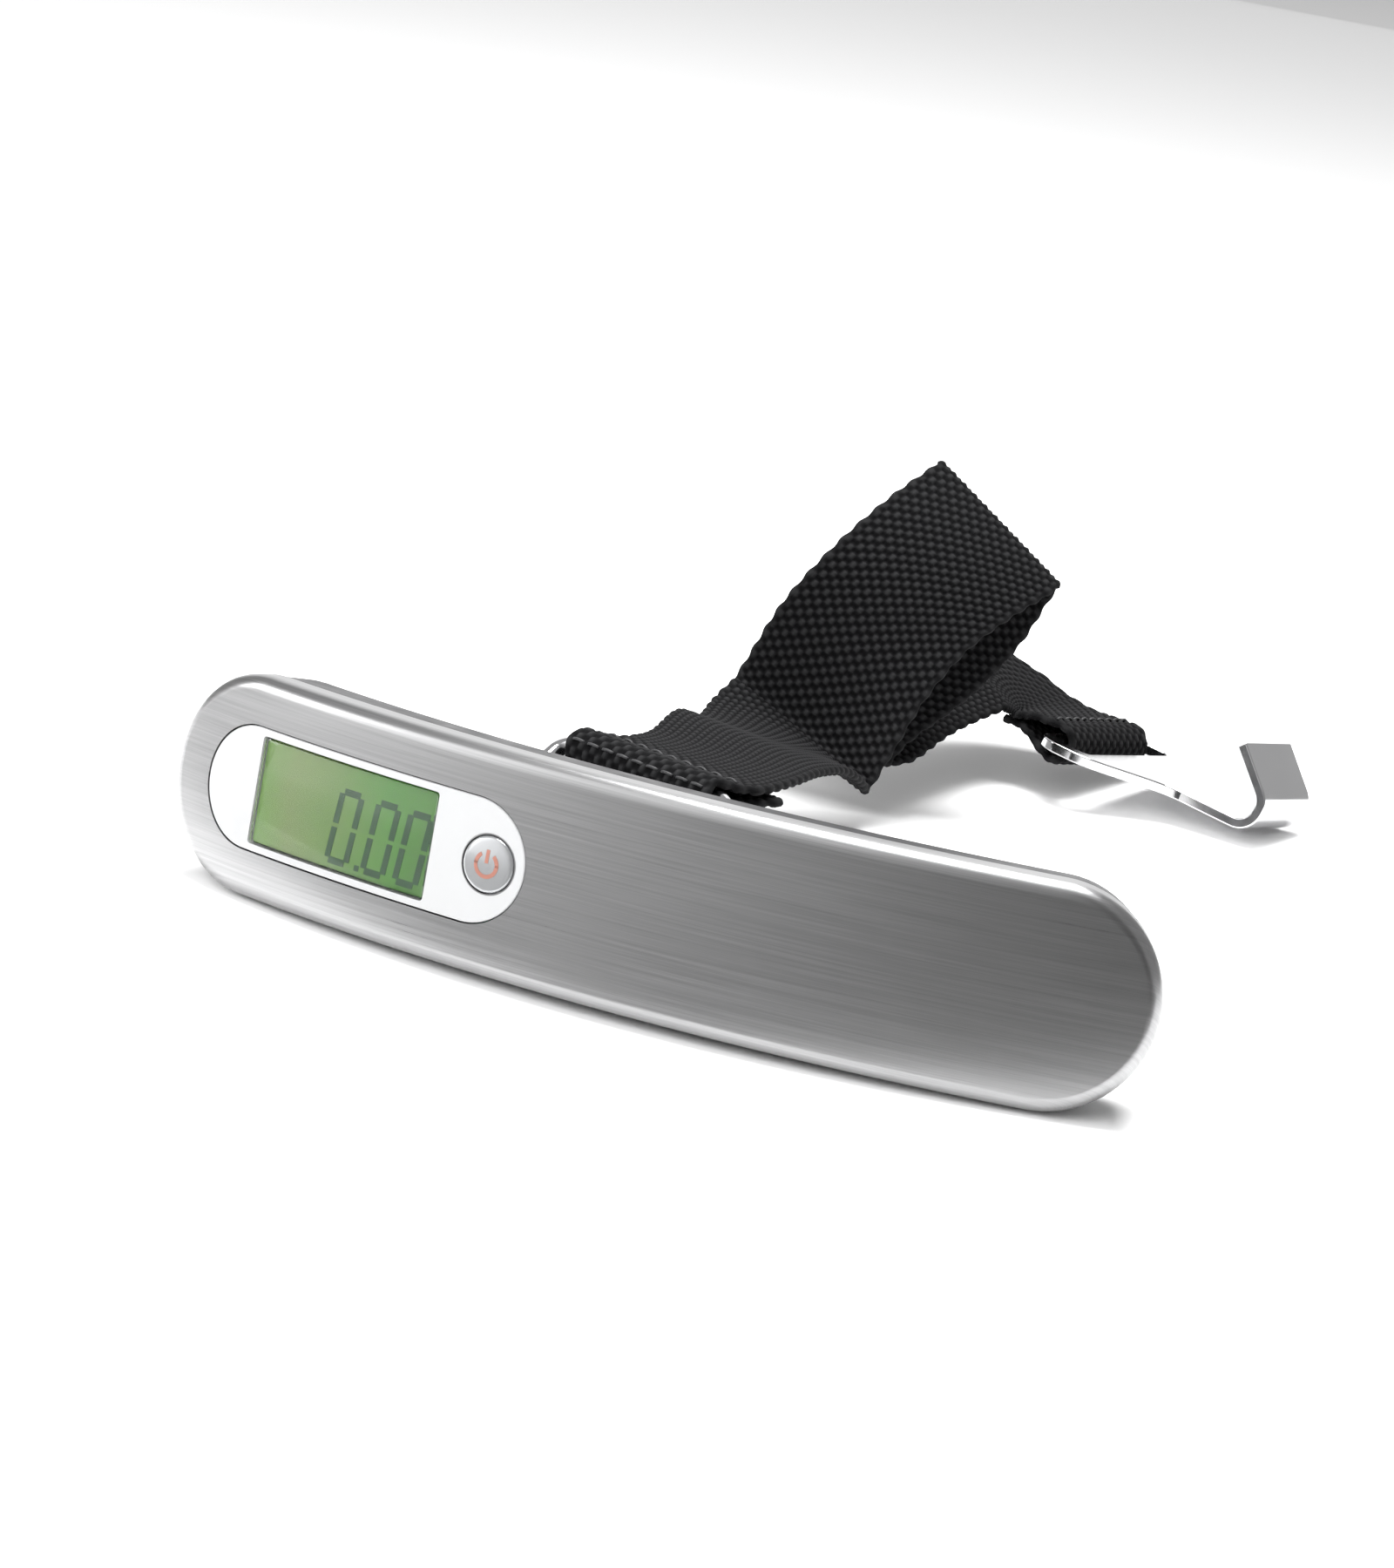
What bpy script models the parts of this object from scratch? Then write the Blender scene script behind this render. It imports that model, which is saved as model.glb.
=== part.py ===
"""Digital luggage scale: an arched steel-faced bar with a display, a load eye on its back, and a webbing strap
that ends in a stamped hook. Metres, +Z up. The bar stands on its long lower edge, leaning back a little, and the
strap and hook lie behind it."""

from math import cos, pi, radians, sin, sqrt

import bmesh
import bpy
from mathutils import Matrix, Vector

MM = 0.001

# The bar. Its own axes: x along the bar, y from the face into the depth, z across the width.
BODY_LENGTH = 140.0        # measured along the arch
BODY_WIDTH = 28.5
BODY_DEPTH = 14.0
ARCH_RADIUS = 180.0        # the face is the outside of this cylinder
LEAN = radians(5.0)
SLICE = 7.0                # spacing of the cross cuts that let a straight solid follow the arch

# Steel front cover
COVER_SHEET = 0.7
COVER_FILLET = 2.0
COVER_DEPTH = 4.0

# Rear casing
CASING_WALL = 1.5
CASING_TAPER = radians(5.0)
CASING_FILLET = 3.5
JOINT_GAP = 0.3

# Display panel and what stands behind it
PANEL_ARC = -37.0
PANEL_LENGTH = 51.2
PANEL_WIDTH = 15.6
PANEL_THICK = 1.3
WINDOW_ARC = -39.5
WINDOW_LENGTH = 28.5
WINDOW_WIDTH = 13.4
BUTTON_ARC = -16.4
BUTTON_RADIUS = 3.6
BUTTON_HOLE_RADIUS = 3.9

# Load path
EYE_X = -5.0
EYE_DEPTH = 17.6           # centre of the eye's hole, behind the face
EYE_MAJOR = 3.8
EYE_MINOR = 1.2
BEAM_START = -11.0
BEAM_LENGTH = 40.0
BEAM_WIDTH = 10.0
BEAM_THICK = 5.0
BEAM_DEPTH = 8.6           # middle of the beam behind the face

# Coin cell and its cap
BATTERY_ARC = 53.0
BATTERY_RADIUS = 10.0
BATTERY_THICK = 3.2
CAP_RADIUS = 10.9
CAP_THICK = 1.6

# Ring
RING_WIRE = 1.25
RING_HALF_WIDTH = 14.5     # to the wire's centre
RING_LENGTH = 16.0         # front bar to rear bar, centres
RING_CORNER = 2.2
RING_YAW = radians(-18.0)
RING_RISE = radians(31.0)
RING_SHIFT = 10.8          # the ring has slid this far along its front bar in the eye

# Strap
WEB_WIDTH = 25.0
WEB_THICK = 1.3
WEB_GAP = 0.35
RING_TAIL = 13.0           # length of webbing turned back and sewn at each end
HOOK_TAIL = 9.0
STATION_STEP = 2.6         # spacing of the strap's cross sections

# Hook
HOOK_SHEET = 1.5
HOOK_LIP_HALF = 7.7
HOOK_BAR_HALF = 16.5
HOOK_SLOT_HALF = 13.6
HOOK_BEND = 3.35           # radius to the middle of the sheet
HOOK_TURN = radians(135.0)
HOOK_LIP = 7.5
HOOK_SHANK = 30.5          # from the bend to the end bar's outer edge
HOOK_BAR = 3.0
HOOK_SLOT = 4.8
HOOK_ORIGIN = Vector((33.65, 157.9, -14.08))
HOOK_ALONG = Vector((0.97, -0.18, -0.15))
HOOK_ACROSS = Vector((0.157, 0.973, -0.149))

# The whole object's origin: on the surface it stands on, under the middle of its box
ORIGIN_Y = 89.0
ORIGIN_Z = 15.27

ARC_STEPS = 16             # steps in a half circle of the bar's outline


# ---------------------------------------------------------------- set-up

def clear_scene():
    for obj in list(bpy.data.objects):
        bpy.data.objects.remove(obj)


def new_collection(name):
    collection = bpy.data.collections.new(name)
    bpy.context.scene.collection.children.link(collection)
    return collection


def material(name, color, roughness, metallic=0.0, alpha=1.0):
    mat = bpy.data.materials.new(name)
    mat.use_nodes = True
    shader = mat.node_tree.nodes["Principled BSDF"]
    shader.inputs["Base Color"].default_value = (*color, 1.0)
    shader.inputs["Roughness"].default_value = roughness
    shader.inputs["Metallic"].default_value = metallic
    shader.inputs["Alpha"].default_value = alpha
    return mat


clear_scene()
PARTS = new_collection("luggage_scale")
CUTTERS = new_collection("cutters")
FACE_TOP = Vector((0.0, -ORIGIN_Y, ORIGIN_Z))     # middle of the face, in millimetres

BENCH = bpy.data.objects.new("bench_frame", None)
BENCH.matrix_world = Matrix.Translation(FACE_TOP * MM)
PARTS.objects.link(BENCH)
BODY_FRAME = bpy.data.objects.new("body_frame", None)
BODY_FRAME.parent = BENCH
BODY_FRAME.rotation_euler = (-LEAN, 0.0, 0.0)
PARTS.objects.link(BODY_FRAME)


def add_object(name, bm, mat, parent=None, collection=PARTS):
    """Turn a bmesh in millimetres into an object in metres."""
    bmesh.ops.scale(bm, vec=(MM, MM, MM), verts=bm.verts)
    bmesh.ops.recalc_face_normals(bm, faces=bm.faces)
    mesh = bpy.data.meshes.new(name)
    bm.to_mesh(mesh)
    bm.free()
    if mat:
        mesh.materials.append(mat)
    obj = bpy.data.objects.new(name, mesh)
    obj.parent = parent
    collection.objects.link(obj)
    if collection is CUTTERS:
        obj.hide_render = True
        obj.display_type = "WIRE"
    return obj


def boolean(target, other, operation="DIFFERENCE"):
    """Apply a Boolean and drop the other object."""
    modifier = target.modifiers.new("boolean", "BOOLEAN")
    modifier.operation = operation
    modifier.solver = "EXACT"
    modifier.object = other
    bpy.context.view_layer.update()
    depsgraph = bpy.context.evaluated_depsgraph_get()
    mesh = bpy.data.meshes.new_from_object(target.evaluated_get(depsgraph))
    target.modifiers.clear()
    target.data = mesh
    bpy.data.objects.remove(other)
    return target


def set_origin(obj, point):
    """Put an object's origin on its joint's axis, and leave its shape where it is."""
    place = Vector(point) * MM
    obj.data.transform(Matrix.Translation(-place))
    obj.location = place


def smooth(obj, angle=35.0):
    obj.data.shade_smooth()
    obj.data.set_sharp_from_angle(angle=radians(angle))
    return obj


# ---------------------------------------------------------------- solids in the bar's straight frame

def obround_points(length, width, steps=ARC_STEPS):
    """Outline of a slot shape in x and z."""
    radius = width / 2
    half = length / 2 - radius
    points = []
    for centre, start in ((half, -pi / 2), (-half, pi / 2)):
        for i in range(steps + 1):
            angle = start + pi * i / steps
            points.append((centre + radius * cos(angle), radius * sin(angle)))
    return points


def rectangle_points(length, width, corner=0.0, steps=4):
    """Outline of a rectangle in x and z, with round corners if asked."""
    if corner <= 0:
        return [(length / 2, -width / 2), (length / 2, width / 2), (-length / 2, width / 2), (-length / 2, -width / 2)]
    points = []
    for sx, sz, start in ((1, -1, -pi / 2), (1, 1, 0), (-1, 1, pi / 2), (-1, -1, pi)):
        for i in range(steps + 1):
            angle = start + pi / 2 * i / steps
            x = sx * (length / 2 - corner) + corner * cos(angle)
            z = sz * (width / 2 - corner) + corner * sin(angle)
            points.append((x, z))
    return points


def curve_bmesh(curve):
    """Mesh of a curve in millimetres, with its caps welded on."""
    source = bpy.data.objects.new("curve_source", curve)
    PARTS.objects.link(source)
    bpy.context.view_layer.update()
    depsgraph = bpy.context.evaluated_depsgraph_get()
    mesh = bpy.data.meshes.new_from_object(source.evaluated_get(depsgraph))
    bm = bmesh.new()
    bm.from_mesh(mesh)
    bmesh.ops.remove_doubles(bm, verts=bm.verts, dist=1e-4)
    bmesh.ops.recalc_face_normals(bm, faces=bm.faces)
    bpy.data.objects.remove(source)
    bpy.data.meshes.remove(mesh)
    bpy.data.curves.remove(curve)
    return bm


def outline_solid(points, low, high):
    """A flat outline in x and y, carried from low to high along z."""
    curve = bpy.data.curves.new("outline", "CURVE")
    curve.dimensions = "2D"
    curve.fill_mode = "BOTH"
    curve.extrude = (high - low) / 2
    spline = curve.splines.new("POLY")
    spline.points.add(len(points) - 1)
    for point, (x, y) in zip(spline.points, points):
        point.co = (x, y, 0.0, 1.0)
    spline.use_cyclic_u = True
    bm = curve_bmesh(curve)
    bmesh.ops.translate(bm, vec=(0, 0, (low + high) / 2), verts=bm.verts)
    bmesh.ops.dissolve_limit(bm, angle_limit=radians(0.5), verts=bm.verts, edges=bm.edges)
    return bm


def prism(points, y0, y1, bevel=0.0, bevel_back=0.0, segments=4):
    """An outline in x and z, carried from y0 to y1, with rounded front and back edges."""
    bm = outline_solid([(x, z) for x, z in points], -y1, -y0)
    bmesh.ops.rotate(bm, cent=(0, 0, 0), matrix=Matrix.Rotation(pi / 2, 3, "X"), verts=bm.verts)
    return round_edges(bm, y0, y1, bevel, bevel_back, segments)


def cylinder(radius, y0, y1, steps, bevel=0.0, bevel_back=0.0, segments=4):
    """A cylinder along y, with rounded front and back edges."""
    bm = bmesh.new()
    bmesh.ops.create_cone(bm, cap_ends=True, segments=steps, radius1=radius, radius2=radius, depth=y1 - y0)
    bmesh.ops.rotate(bm, cent=(0, 0, 0), matrix=Matrix.Rotation(pi / 2, 3, "X"), verts=bm.verts)
    bmesh.ops.translate(bm, vec=(0, (y0 + y1) / 2, 0), verts=bm.verts)
    return round_edges(bm, y0, y1, bevel, bevel_back, segments)


def round_edges(bm, y0, y1, bevel, bevel_back, segments):
    for depth, offset in ((y0, bevel), (y1, bevel_back)):
        if offset > 0:
            edges = [e for e in bm.edges if all(abs(v.co.y - depth) < 1e-4 for v in e.verts)]
            bmesh.ops.bevel(bm, geom=edges, offset=offset, offset_type="OFFSET", segments=segments,
                            profile=0.5, affect="EDGES", clamp_overlap=True)
    return bm


def taper(bm, y0, angle):
    """Draw the sides in towards the back: z and the round ends shrink with depth past y0."""
    half = BODY_LENGTH / 2 - BODY_WIDTH / 2
    for v in bm.verts:
        inset = max(0.0, v.co.y - y0) * sin(angle) / cos(angle)
        scale = 1 - inset / (BODY_WIDTH / 2)
        v.co.z *= scale
        if abs(v.co.x) > half:
            side = 1 if v.co.x > 0 else -1
            v.co.x = side * (half + (abs(v.co.x) - half) * scale)


def arch_point(arc, depth, across=0.0):
    """A point given by its arc length along the face, its depth and its place across the width."""
    angle = arc / ARCH_RADIUS
    radius = ARCH_RADIUS - depth
    return Vector((radius * sin(angle), ARCH_RADIUS - radius * cos(angle), across))


def arch_matrix(arc):
    """Frame that stands on the face at an arc length: x along the face, y into the depth."""
    return Matrix.Translation(arch_point(arc, 0)) @ Matrix.Rotation(arc / ARCH_RADIUS, 4, "Z")


def bend(bm):
    """Cut the solid across its length, then roll it onto the arch."""
    xs = [v.co.x for v in bm.verts]
    count = int((max(xs) - min(xs)) / SLICE)
    middle = (max(xs) + min(xs)) / 2
    for i in range(count):
        x = middle + (i - (count - 1) / 2) * SLICE
        geom = bm.verts[:] + bm.edges[:] + bm.faces[:]
        bmesh.ops.bisect_plane(bm, geom=geom, plane_co=(x, 0, 0), plane_no=(1, 0, 0), dist=1e-5)
    for v in bm.verts:
        v.co = arch_point(*v.co)
    return bm


def bent_prism(name, points, y0, y1, mat, arc=0.0, collection=PARTS, **bevels):
    """A prism that follows the arch, centred on an arc length."""
    bm = prism([(x + arc, z) for x, z in points], y0, y1, **bevels)
    return add_object(name, bend(bm), mat, BODY_FRAME, collection)


def flat_prism(name, points, y0, y1, mat, arc=0.0, collection=PARTS, shift=(0, 0), **bevels):
    """A straight prism that stands on the face at an arc length."""
    bm = prism([(x + shift[0], z + shift[1]) for x, z in points], y0, y1, **bevels)
    bmesh.ops.transform(bm, matrix=arch_matrix(arc), verts=bm.verts)
    return add_object(name, bm, mat, BODY_FRAME, collection)


def disc(name, radius, y0, y1, mat, arc=0.0, collection=PARTS, shift=(0, 0), steps=32, **bevels):
    """A round flat solid on the face's normal."""
    bm = cylinder(radius, y0, y1, steps, **bevels)
    bmesh.ops.translate(bm, vec=(shift[0], 0, shift[1]), verts=bm.verts)
    bmesh.ops.transform(bm, matrix=arch_matrix(arc), verts=bm.verts)
    return add_object(name, bm, mat, BODY_FRAME, collection)


def tube_object(name, points, radius, mat, parent, cyclic=False, resolution=2):
    """A round wire along given points, made a closed mesh."""
    curve = bpy.data.curves.new(name, "CURVE")
    curve.dimensions = "3D"
    curve.bevel_depth = radius
    curve.bevel_resolution = resolution
    curve.use_fill_caps = not cyclic
    spline = curve.splines.new("POLY")
    spline.points.add(len(points) - 1)
    for point, co in zip(spline.points, points):
        point.co = (*co, 1.0)
    spline.use_cyclic_u = cyclic
    return smooth(add_object(name, curve_bmesh(curve), mat, parent))


def catmull_rom(points, steps):
    """Smooth curve through the points, with a number of steps in each span."""
    padded = [points[0] * 2 - points[1]] + list(points) + [points[-1] * 2 - points[-2]]
    curve = []
    for a, b, c, d in zip(padded, padded[1:], padded[2:], padded[3:]):
        for i in range(steps):
            t = i / steps
            curve.append(0.5 * ((2 * b) + (c - a) * t + (2 * a - 5 * b + 4 * c - d) * t ** 2
                                + (3 * b - a - 3 * c + d) * t ** 3))
    curve.append(points[-1].copy())
    return curve


# ---------------------------------------------------------------- materials

STEEL = material("brushed_steel", (0.62, 0.62, 0.63), 0.28, 1.0)
CHROME = material("polished_steel", (0.80, 0.80, 0.81), 0.12, 1.0)
WHITE = material("white_gloss_plastic", (0.86, 0.87, 0.87), 0.22)
BLACK = material("black_plastic", (0.03, 0.03, 0.033), 0.45)
CLEAR = material("clear_window", (0.90, 0.93, 0.90), 0.05, 0.0, 0.3)
LCD = material("green_display", (0.16, 0.42, 0.08), 0.30)
LIGHT = material("backlight_plate", (0.75, 0.85, 0.70), 0.35)
BOARD = material("circuit_board", (0.02, 0.16, 0.07), 0.40)
CHIP = material("black_epoxy", (0.015, 0.015, 0.015), 0.35)
RUBBER = material("grey_rubber", (0.10, 0.10, 0.10), 0.70)
ALLOY = material("aluminium_alloy", (0.72, 0.73, 0.75), 0.35, 1.0)
GAUGE = material("strain_gauge_film", (0.55, 0.33, 0.10), 0.45)
SCREW = material("zinc_screw", (0.55, 0.56, 0.58), 0.30, 1.0)
BRASS = material("nickel_contact", (0.70, 0.66, 0.55), 0.25, 1.0)
CELL = material("coin_cell", (0.68, 0.69, 0.70), 0.22, 1.0)
RED_WIRE = material("red_wire", (0.45, 0.02, 0.02), 0.45)
BLACK_WIRE = material("black_wire", (0.02, 0.02, 0.02), 0.45)
WHITE_WIRE = material("white_wire", (0.75, 0.75, 0.72), 0.45)
WEBBING = material("black_webbing", (0.018, 0.018, 0.020), 0.85)
BUTTON = material("clear_button", (0.78, 0.79, 0.80), 0.12)


# ---------------------------------------------------------------- the bar

def build_front_cover():
    outline = obround_points(BODY_LENGTH, BODY_WIDTH)
    inner = obround_points(BODY_LENGTH - 2 * COVER_SHEET, BODY_WIDTH - 2 * COVER_SHEET)
    window = obround_points(PANEL_LENGTH + 2 * JOINT_GAP, PANEL_WIDTH + 2 * JOINT_GAP)
    cover = bent_prism("front_cover", outline, 0.0, COVER_DEPTH, STEEL, bevel=COVER_FILLET, segments=5)
    hollow = bent_prism("cover_hollow", inner, COVER_SHEET, COVER_DEPTH + 2, None, collection=CUTTERS,
                        bevel=COVER_FILLET - COVER_SHEET, segments=5)
    boolean(cover, hollow)
    opening = bent_prism("cover_opening", window, -2.0, 2.5, None, arc=PANEL_ARC, collection=CUTTERS)
    smooth(boolean(cover, opening))


def build_bezel():
    """White panel, flush with the steel, with a window for the display and a hole for the button."""
    outline = obround_points(PANEL_LENGTH, PANEL_WIDTH)
    panel = bent_prism("bezel_panel", outline, 0.0, PANEL_THICK, WHITE, arc=PANEL_ARC, bevel=0.25, segments=2)
    window = rectangle_points(WINDOW_LENGTH + 2 * JOINT_GAP, WINDOW_WIDTH + 2 * JOINT_GAP, 0.5, 2)
    boolean(panel, bent_prism("panel_window", window, -1.0, 3.0, None, arc=WINDOW_ARC, collection=CUTTERS))
    boolean(panel, disc("panel_hole", BUTTON_HOLE_RADIUS, -1.0, 3.0, None, arc=BUTTON_ARC, collection=CUTTERS))
    smooth(panel)
    lens = rectangle_points(WINDOW_LENGTH, WINDOW_WIDTH, 0.4, 2)
    smooth(bent_prism("lcd_window", lens, 0.05, 1.05, CLEAR, arc=WINDOW_ARC))


def build_display():
    """Flat display stack behind the window, standing on the arch at the window's middle."""
    stack = (
        ("lcd_glass", (WINDOW_LENGTH + 1.0, WINDOW_WIDTH + 1.4), 2.3, 3.6, LCD, (0, 0)),
        ("lcd_backlight", (WINDOW_LENGTH - 1.0, WINDOW_WIDTH - 1.0), 3.9, 6.2, LIGHT, (0, 0.9)),
        ("zebra_strip", (WINDOW_LENGTH - 2.0, 1.2), 3.9, 6.2, RUBBER, (0, -6.9)),
    )
    for name, (length, width), y0, y1, mat, shift in stack:
        flat_prism(name, rectangle_points(length, width, 0.3, 1), y0, y1, mat, arc=WINDOW_ARC, shift=shift)


def build_board():
    """Circuit board with its chip and key switch, along the display half of the bar."""
    flat_prism("circuit_board", rectangle_points(42.0, 20.0, 1.5, 3), 6.6, 7.7, BOARD, arc=WINDOW_ARC,
               shift=(5.5, 0))
    flat_prism("controller_chip", rectangle_points(9.0, 9.0, 1.0, 2), 8.0, 9.4, CHIP, arc=WINDOW_ARC,
               bevel_back=0.5, segments=2)
    place = (BUTTON_ARC - WINDOW_ARC, 0)
    switch = flat_prism("key_switch", rectangle_points(6.0, 6.0, 0.3, 1), 4.9, 6.3, CHIP, arc=WINDOW_ARC,
                        shift=place)
    plunger = disc("plunger", 1.6, 4.5, 5.2, CHIP, arc=WINDOW_ARC, shift=place, steps=16)
    boolean(switch, plunger, "UNION")


def build_button():
    """Round domed button. Its stem stops just above the key switch."""
    button = disc("power_button", BUTTON_RADIUS, -0.55, 1.0, BUTTON, arc=BUTTON_ARC, steps=36, bevel=0.5,
                  segments=3)
    flange = disc("flange", BUTTON_RADIUS + 0.9, 1.65, 2.2, BUTTON, arc=BUTTON_ARC, steps=36)
    neck = disc("neck", BUTTON_RADIUS - 0.3, 0.6, 1.9, BUTTON, arc=BUTTON_ARC, steps=36)
    boolean(button, neck, "UNION")
    smooth(boolean(button, flange, "UNION"))
    set_origin(button, arch_point(BUTTON_ARC, 0.0))


def build_casing():
    """Black shell behind the cover: a lip that fits inside the steel, tapered sides and a rounded back."""
    back = BODY_DEPTH
    start = COVER_DEPTH + JOINT_GAP
    outline = obround_points(BODY_LENGTH - 0.4, BODY_WIDTH - 0.4)
    shell_bm = prism(outline, start, back, bevel_back=CASING_FILLET, segments=4)
    taper(shell_bm, start, CASING_TAPER)
    casing = add_object("rear_casing", bend(shell_bm), BLACK, BODY_FRAME)
    lip_inset = 2 * (COVER_SHEET + JOINT_GAP)
    lip = bent_prism("casing_lip", obround_points(BODY_LENGTH - lip_inset, BODY_WIDTH - lip_inset), 2.6,
                     start + 1.0, BLACK)
    boolean(casing, lip, "UNION")
    inset = lip_inset + 2 * 1.1
    hollow_bm = prism(obround_points(BODY_LENGTH - inset, BODY_WIDTH - inset), 1.0, back - CASING_WALL,
                      bevel_back=CASING_FILLET - CASING_WALL, segments=3)
    taper(hollow_bm, start, CASING_TAPER)
    boolean(casing, add_object("casing_hollow", bend(hollow_bm), None, BODY_FRAME, CUTTERS))
    boolean(casing, disc("eye_opening", 5.9, 8.0, 20.0, None, collection=CUTTERS, shift=(EYE_X, 0)))
    boolean(casing, disc("cap_seat", CAP_RADIUS + JOINT_GAP, BODY_DEPTH - CAP_THICK, 20.0, None, arc=BATTERY_ARC,
                         collection=CUTTERS, steps=40))
    boolean(casing, disc("battery_door_hole", BATTERY_RADIUS - 1.2, 8.0, 16.0, None, arc=BATTERY_ARC,
                         collection=CUTTERS))
    for arc, across in CASING_SCREWS:
        boolean(casing, disc("screw_hole", 1.3, 6.0, 16.0, None, arc=arc, collection=CUTTERS, shift=(0, across),
                             steps=20))
        boolean(casing, disc("screw_sink", 2.6, BODY_DEPTH - 0.9, 17.0, None, arc=arc, collection=CUTTERS,
                             shift=(0, across), steps=20))
    smooth(casing)


CASING_SCREWS = ((-61.0, 0.0), (-20.0, 0.0), (32.0, 7.6))


def build_casing_screws():
    for number, (arc, across) in enumerate(CASING_SCREWS, 1):
        screw = disc(f"casing_screw_{number}", 2.2, BODY_DEPTH - 0.6, BODY_DEPTH - 0.1, SCREW, arc=arc,
                     shift=(0, across), steps=20)
        shank = disc("shank", 0.95, BODY_DEPTH - 5.0, BODY_DEPTH - 0.4, SCREW, arc=arc, shift=(0, across), steps=12)
        boolean(screw, shank, "UNION")
        slot = flat_prism("cross", rectangle_points(2.6, 0.5), BODY_DEPTH - 0.35, BODY_DEPTH + 1, None, arc=arc,
                          collection=CUTTERS, shift=(0, across))
        boolean(screw, slot)
        slot = flat_prism("cross", rectangle_points(0.5, 2.6), BODY_DEPTH - 0.35, BODY_DEPTH + 1, None, arc=arc,
                          collection=CUTTERS, shift=(0, across))
        smooth(boolean(screw, slot))


# ---------------------------------------------------------------- load cell and eye

def build_load_cell():
    """Aluminium bending beam with two joined holes where it is meant to flex. One end is screwed down."""
    middle = BEAM_START + BEAM_LENGTH / 2
    y0 = BEAM_DEPTH - BEAM_THICK / 2
    y1 = BEAM_DEPTH + BEAM_THICK / 2
    beam = flat_prism("load_cell", rectangle_points(BEAM_LENGTH, BEAM_WIDTH, 0.6, 2), y0, y1, ALLOY,
                      shift=(middle, 0))
    for x in (middle - 3.0, middle + 3.0):
        bm = bmesh.new()
        bmesh.ops.create_cone(bm, cap_ends=True, segments=24, radius1=1.7, radius2=1.7, depth=BEAM_WIDTH + 4)
        bmesh.ops.translate(bm, vec=(x, BEAM_DEPTH, 0), verts=bm.verts)
        boolean(beam, add_object("flexure_hole", bm, None, BODY_FRAME, CUTTERS))
    link = bmesh.new()
    bmesh.ops.create_cube(link, size=1.0)
    bmesh.ops.scale(link, vec=(6.0, 1.6, BEAM_WIDTH + 4), verts=link.verts)
    bmesh.ops.translate(link, vec=(middle, BEAM_DEPTH, 0), verts=link.verts)
    boolean(beam, add_object("flexure_slot", link, None, BODY_FRAME, CUTTERS))
    boolean(beam, disc("eye_hole", 1.9, 0, 14, None, collection=CUTTERS, shift=(EYE_X, 0), steps=24))
    for x in BEAM_SCREWS:
        boolean(beam, disc("beam_hole", 1.7, 0, 14, None, collection=CUTTERS, shift=(x, 0), steps=20))
    smooth(beam)
    for name, depth in (("strain_gauge_front", y0 - 0.3 - 0.35), ("strain_gauge_back", y1 + 0.3)):
        flat_prism(name, rectangle_points(7.0, 4.0), depth, depth + 0.35, GAUGE, shift=(middle, 0))


BEAM_SCREWS = (18.0, 26.0)


def build_beam_screws():
    """Screws that hold the beam's fixed end to two posts on the chassis."""
    for number, x in enumerate(BEAM_SCREWS, 1):
        front = BEAM_DEPTH - BEAM_THICK / 2 - JOINT_GAP
        screw = disc(f"load_cell_screw_{number}", 2.6, front - 1.6, front, SCREW, shift=(x, 0), steps=20)
        boolean(screw, disc("shank", 1.35, front - 0.5, front + 6.6, SCREW, shift=(x, 0), steps=14), "UNION")
        boolean(screw, flat_prism("cross", rectangle_points(3.0, 0.6), front - 2, front - 1.1, None,
                                  collection=CUTTERS, shift=(x, 0)))
        smooth(screw)


def build_beam_block():
    """Plastic block that spaces the beam's fixed end off the casing's back."""
    y0 = BEAM_DEPTH + BEAM_THICK / 2 + JOINT_GAP
    block = flat_prism("beam_mount_block", rectangle_points(14.5, 12.0, 1.0, 2), y0, y0 + 1.6, BLACK,
                       shift=(22.0, 0))
    for x in BEAM_SCREWS:
        boolean(block, disc("block_hole", 1.7, 0, 16, None, collection=CUTTERS, shift=(x, 0), steps=20))
    smooth(block)


def build_load_eye():
    """Eye bolt through the beam's free end. The ring's bar runs through the eye."""
    bpy.ops.mesh.primitive_torus_add(major_radius=EYE_MAJOR, minor_radius=EYE_MINOR, major_segments=28,
                                     minor_segments=12)
    torus = bpy.context.object
    bm = bmesh.new()
    bm.from_mesh(torus.data)
    bpy.data.objects.remove(torus)
    bmesh.ops.rotate(bm, cent=(0, 0, 0), matrix=Matrix.Rotation(pi / 2, 3, "Y"), verts=bm.verts)
    bmesh.ops.translate(bm, vec=(EYE_X, EYE_DEPTH, 0), verts=bm.verts)
    eye = add_object("load_eye", bm, CHROME, BODY_FRAME)
    top = EYE_DEPTH - EYE_MAJOR
    stem = disc("stem", 1.55, BEAM_DEPTH - BEAM_THICK / 2 - 2.4, top + 0.5, CHROME, shift=(EYE_X, 0), steps=20)
    boolean(eye, stem, "UNION")
    collar = disc("collar", 3.0, BEAM_DEPTH + BEAM_THICK / 2 + JOINT_GAP, BEAM_DEPTH + BEAM_THICK / 2 + 1.4, CHROME,
                  shift=(EYE_X, 0), steps=24)
    smooth(boolean(eye, collar, "UNION"))
    front = BEAM_DEPTH - BEAM_THICK / 2 - JOINT_GAP
    hexagon = [(2.7 * cos(pi * i / 3), 2.7 * sin(pi * i / 3)) for i in range(6)]
    nut = flat_prism("eye_nut", hexagon, front - 1.8, front, SCREW, shift=(EYE_X, 0))
    boolean(nut, disc("nut_hole", 1.85, -2, 10, None, collection=CUTTERS, shift=(EYE_X, 0), steps=20))


# ---------------------------------------------------------------- battery

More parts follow.
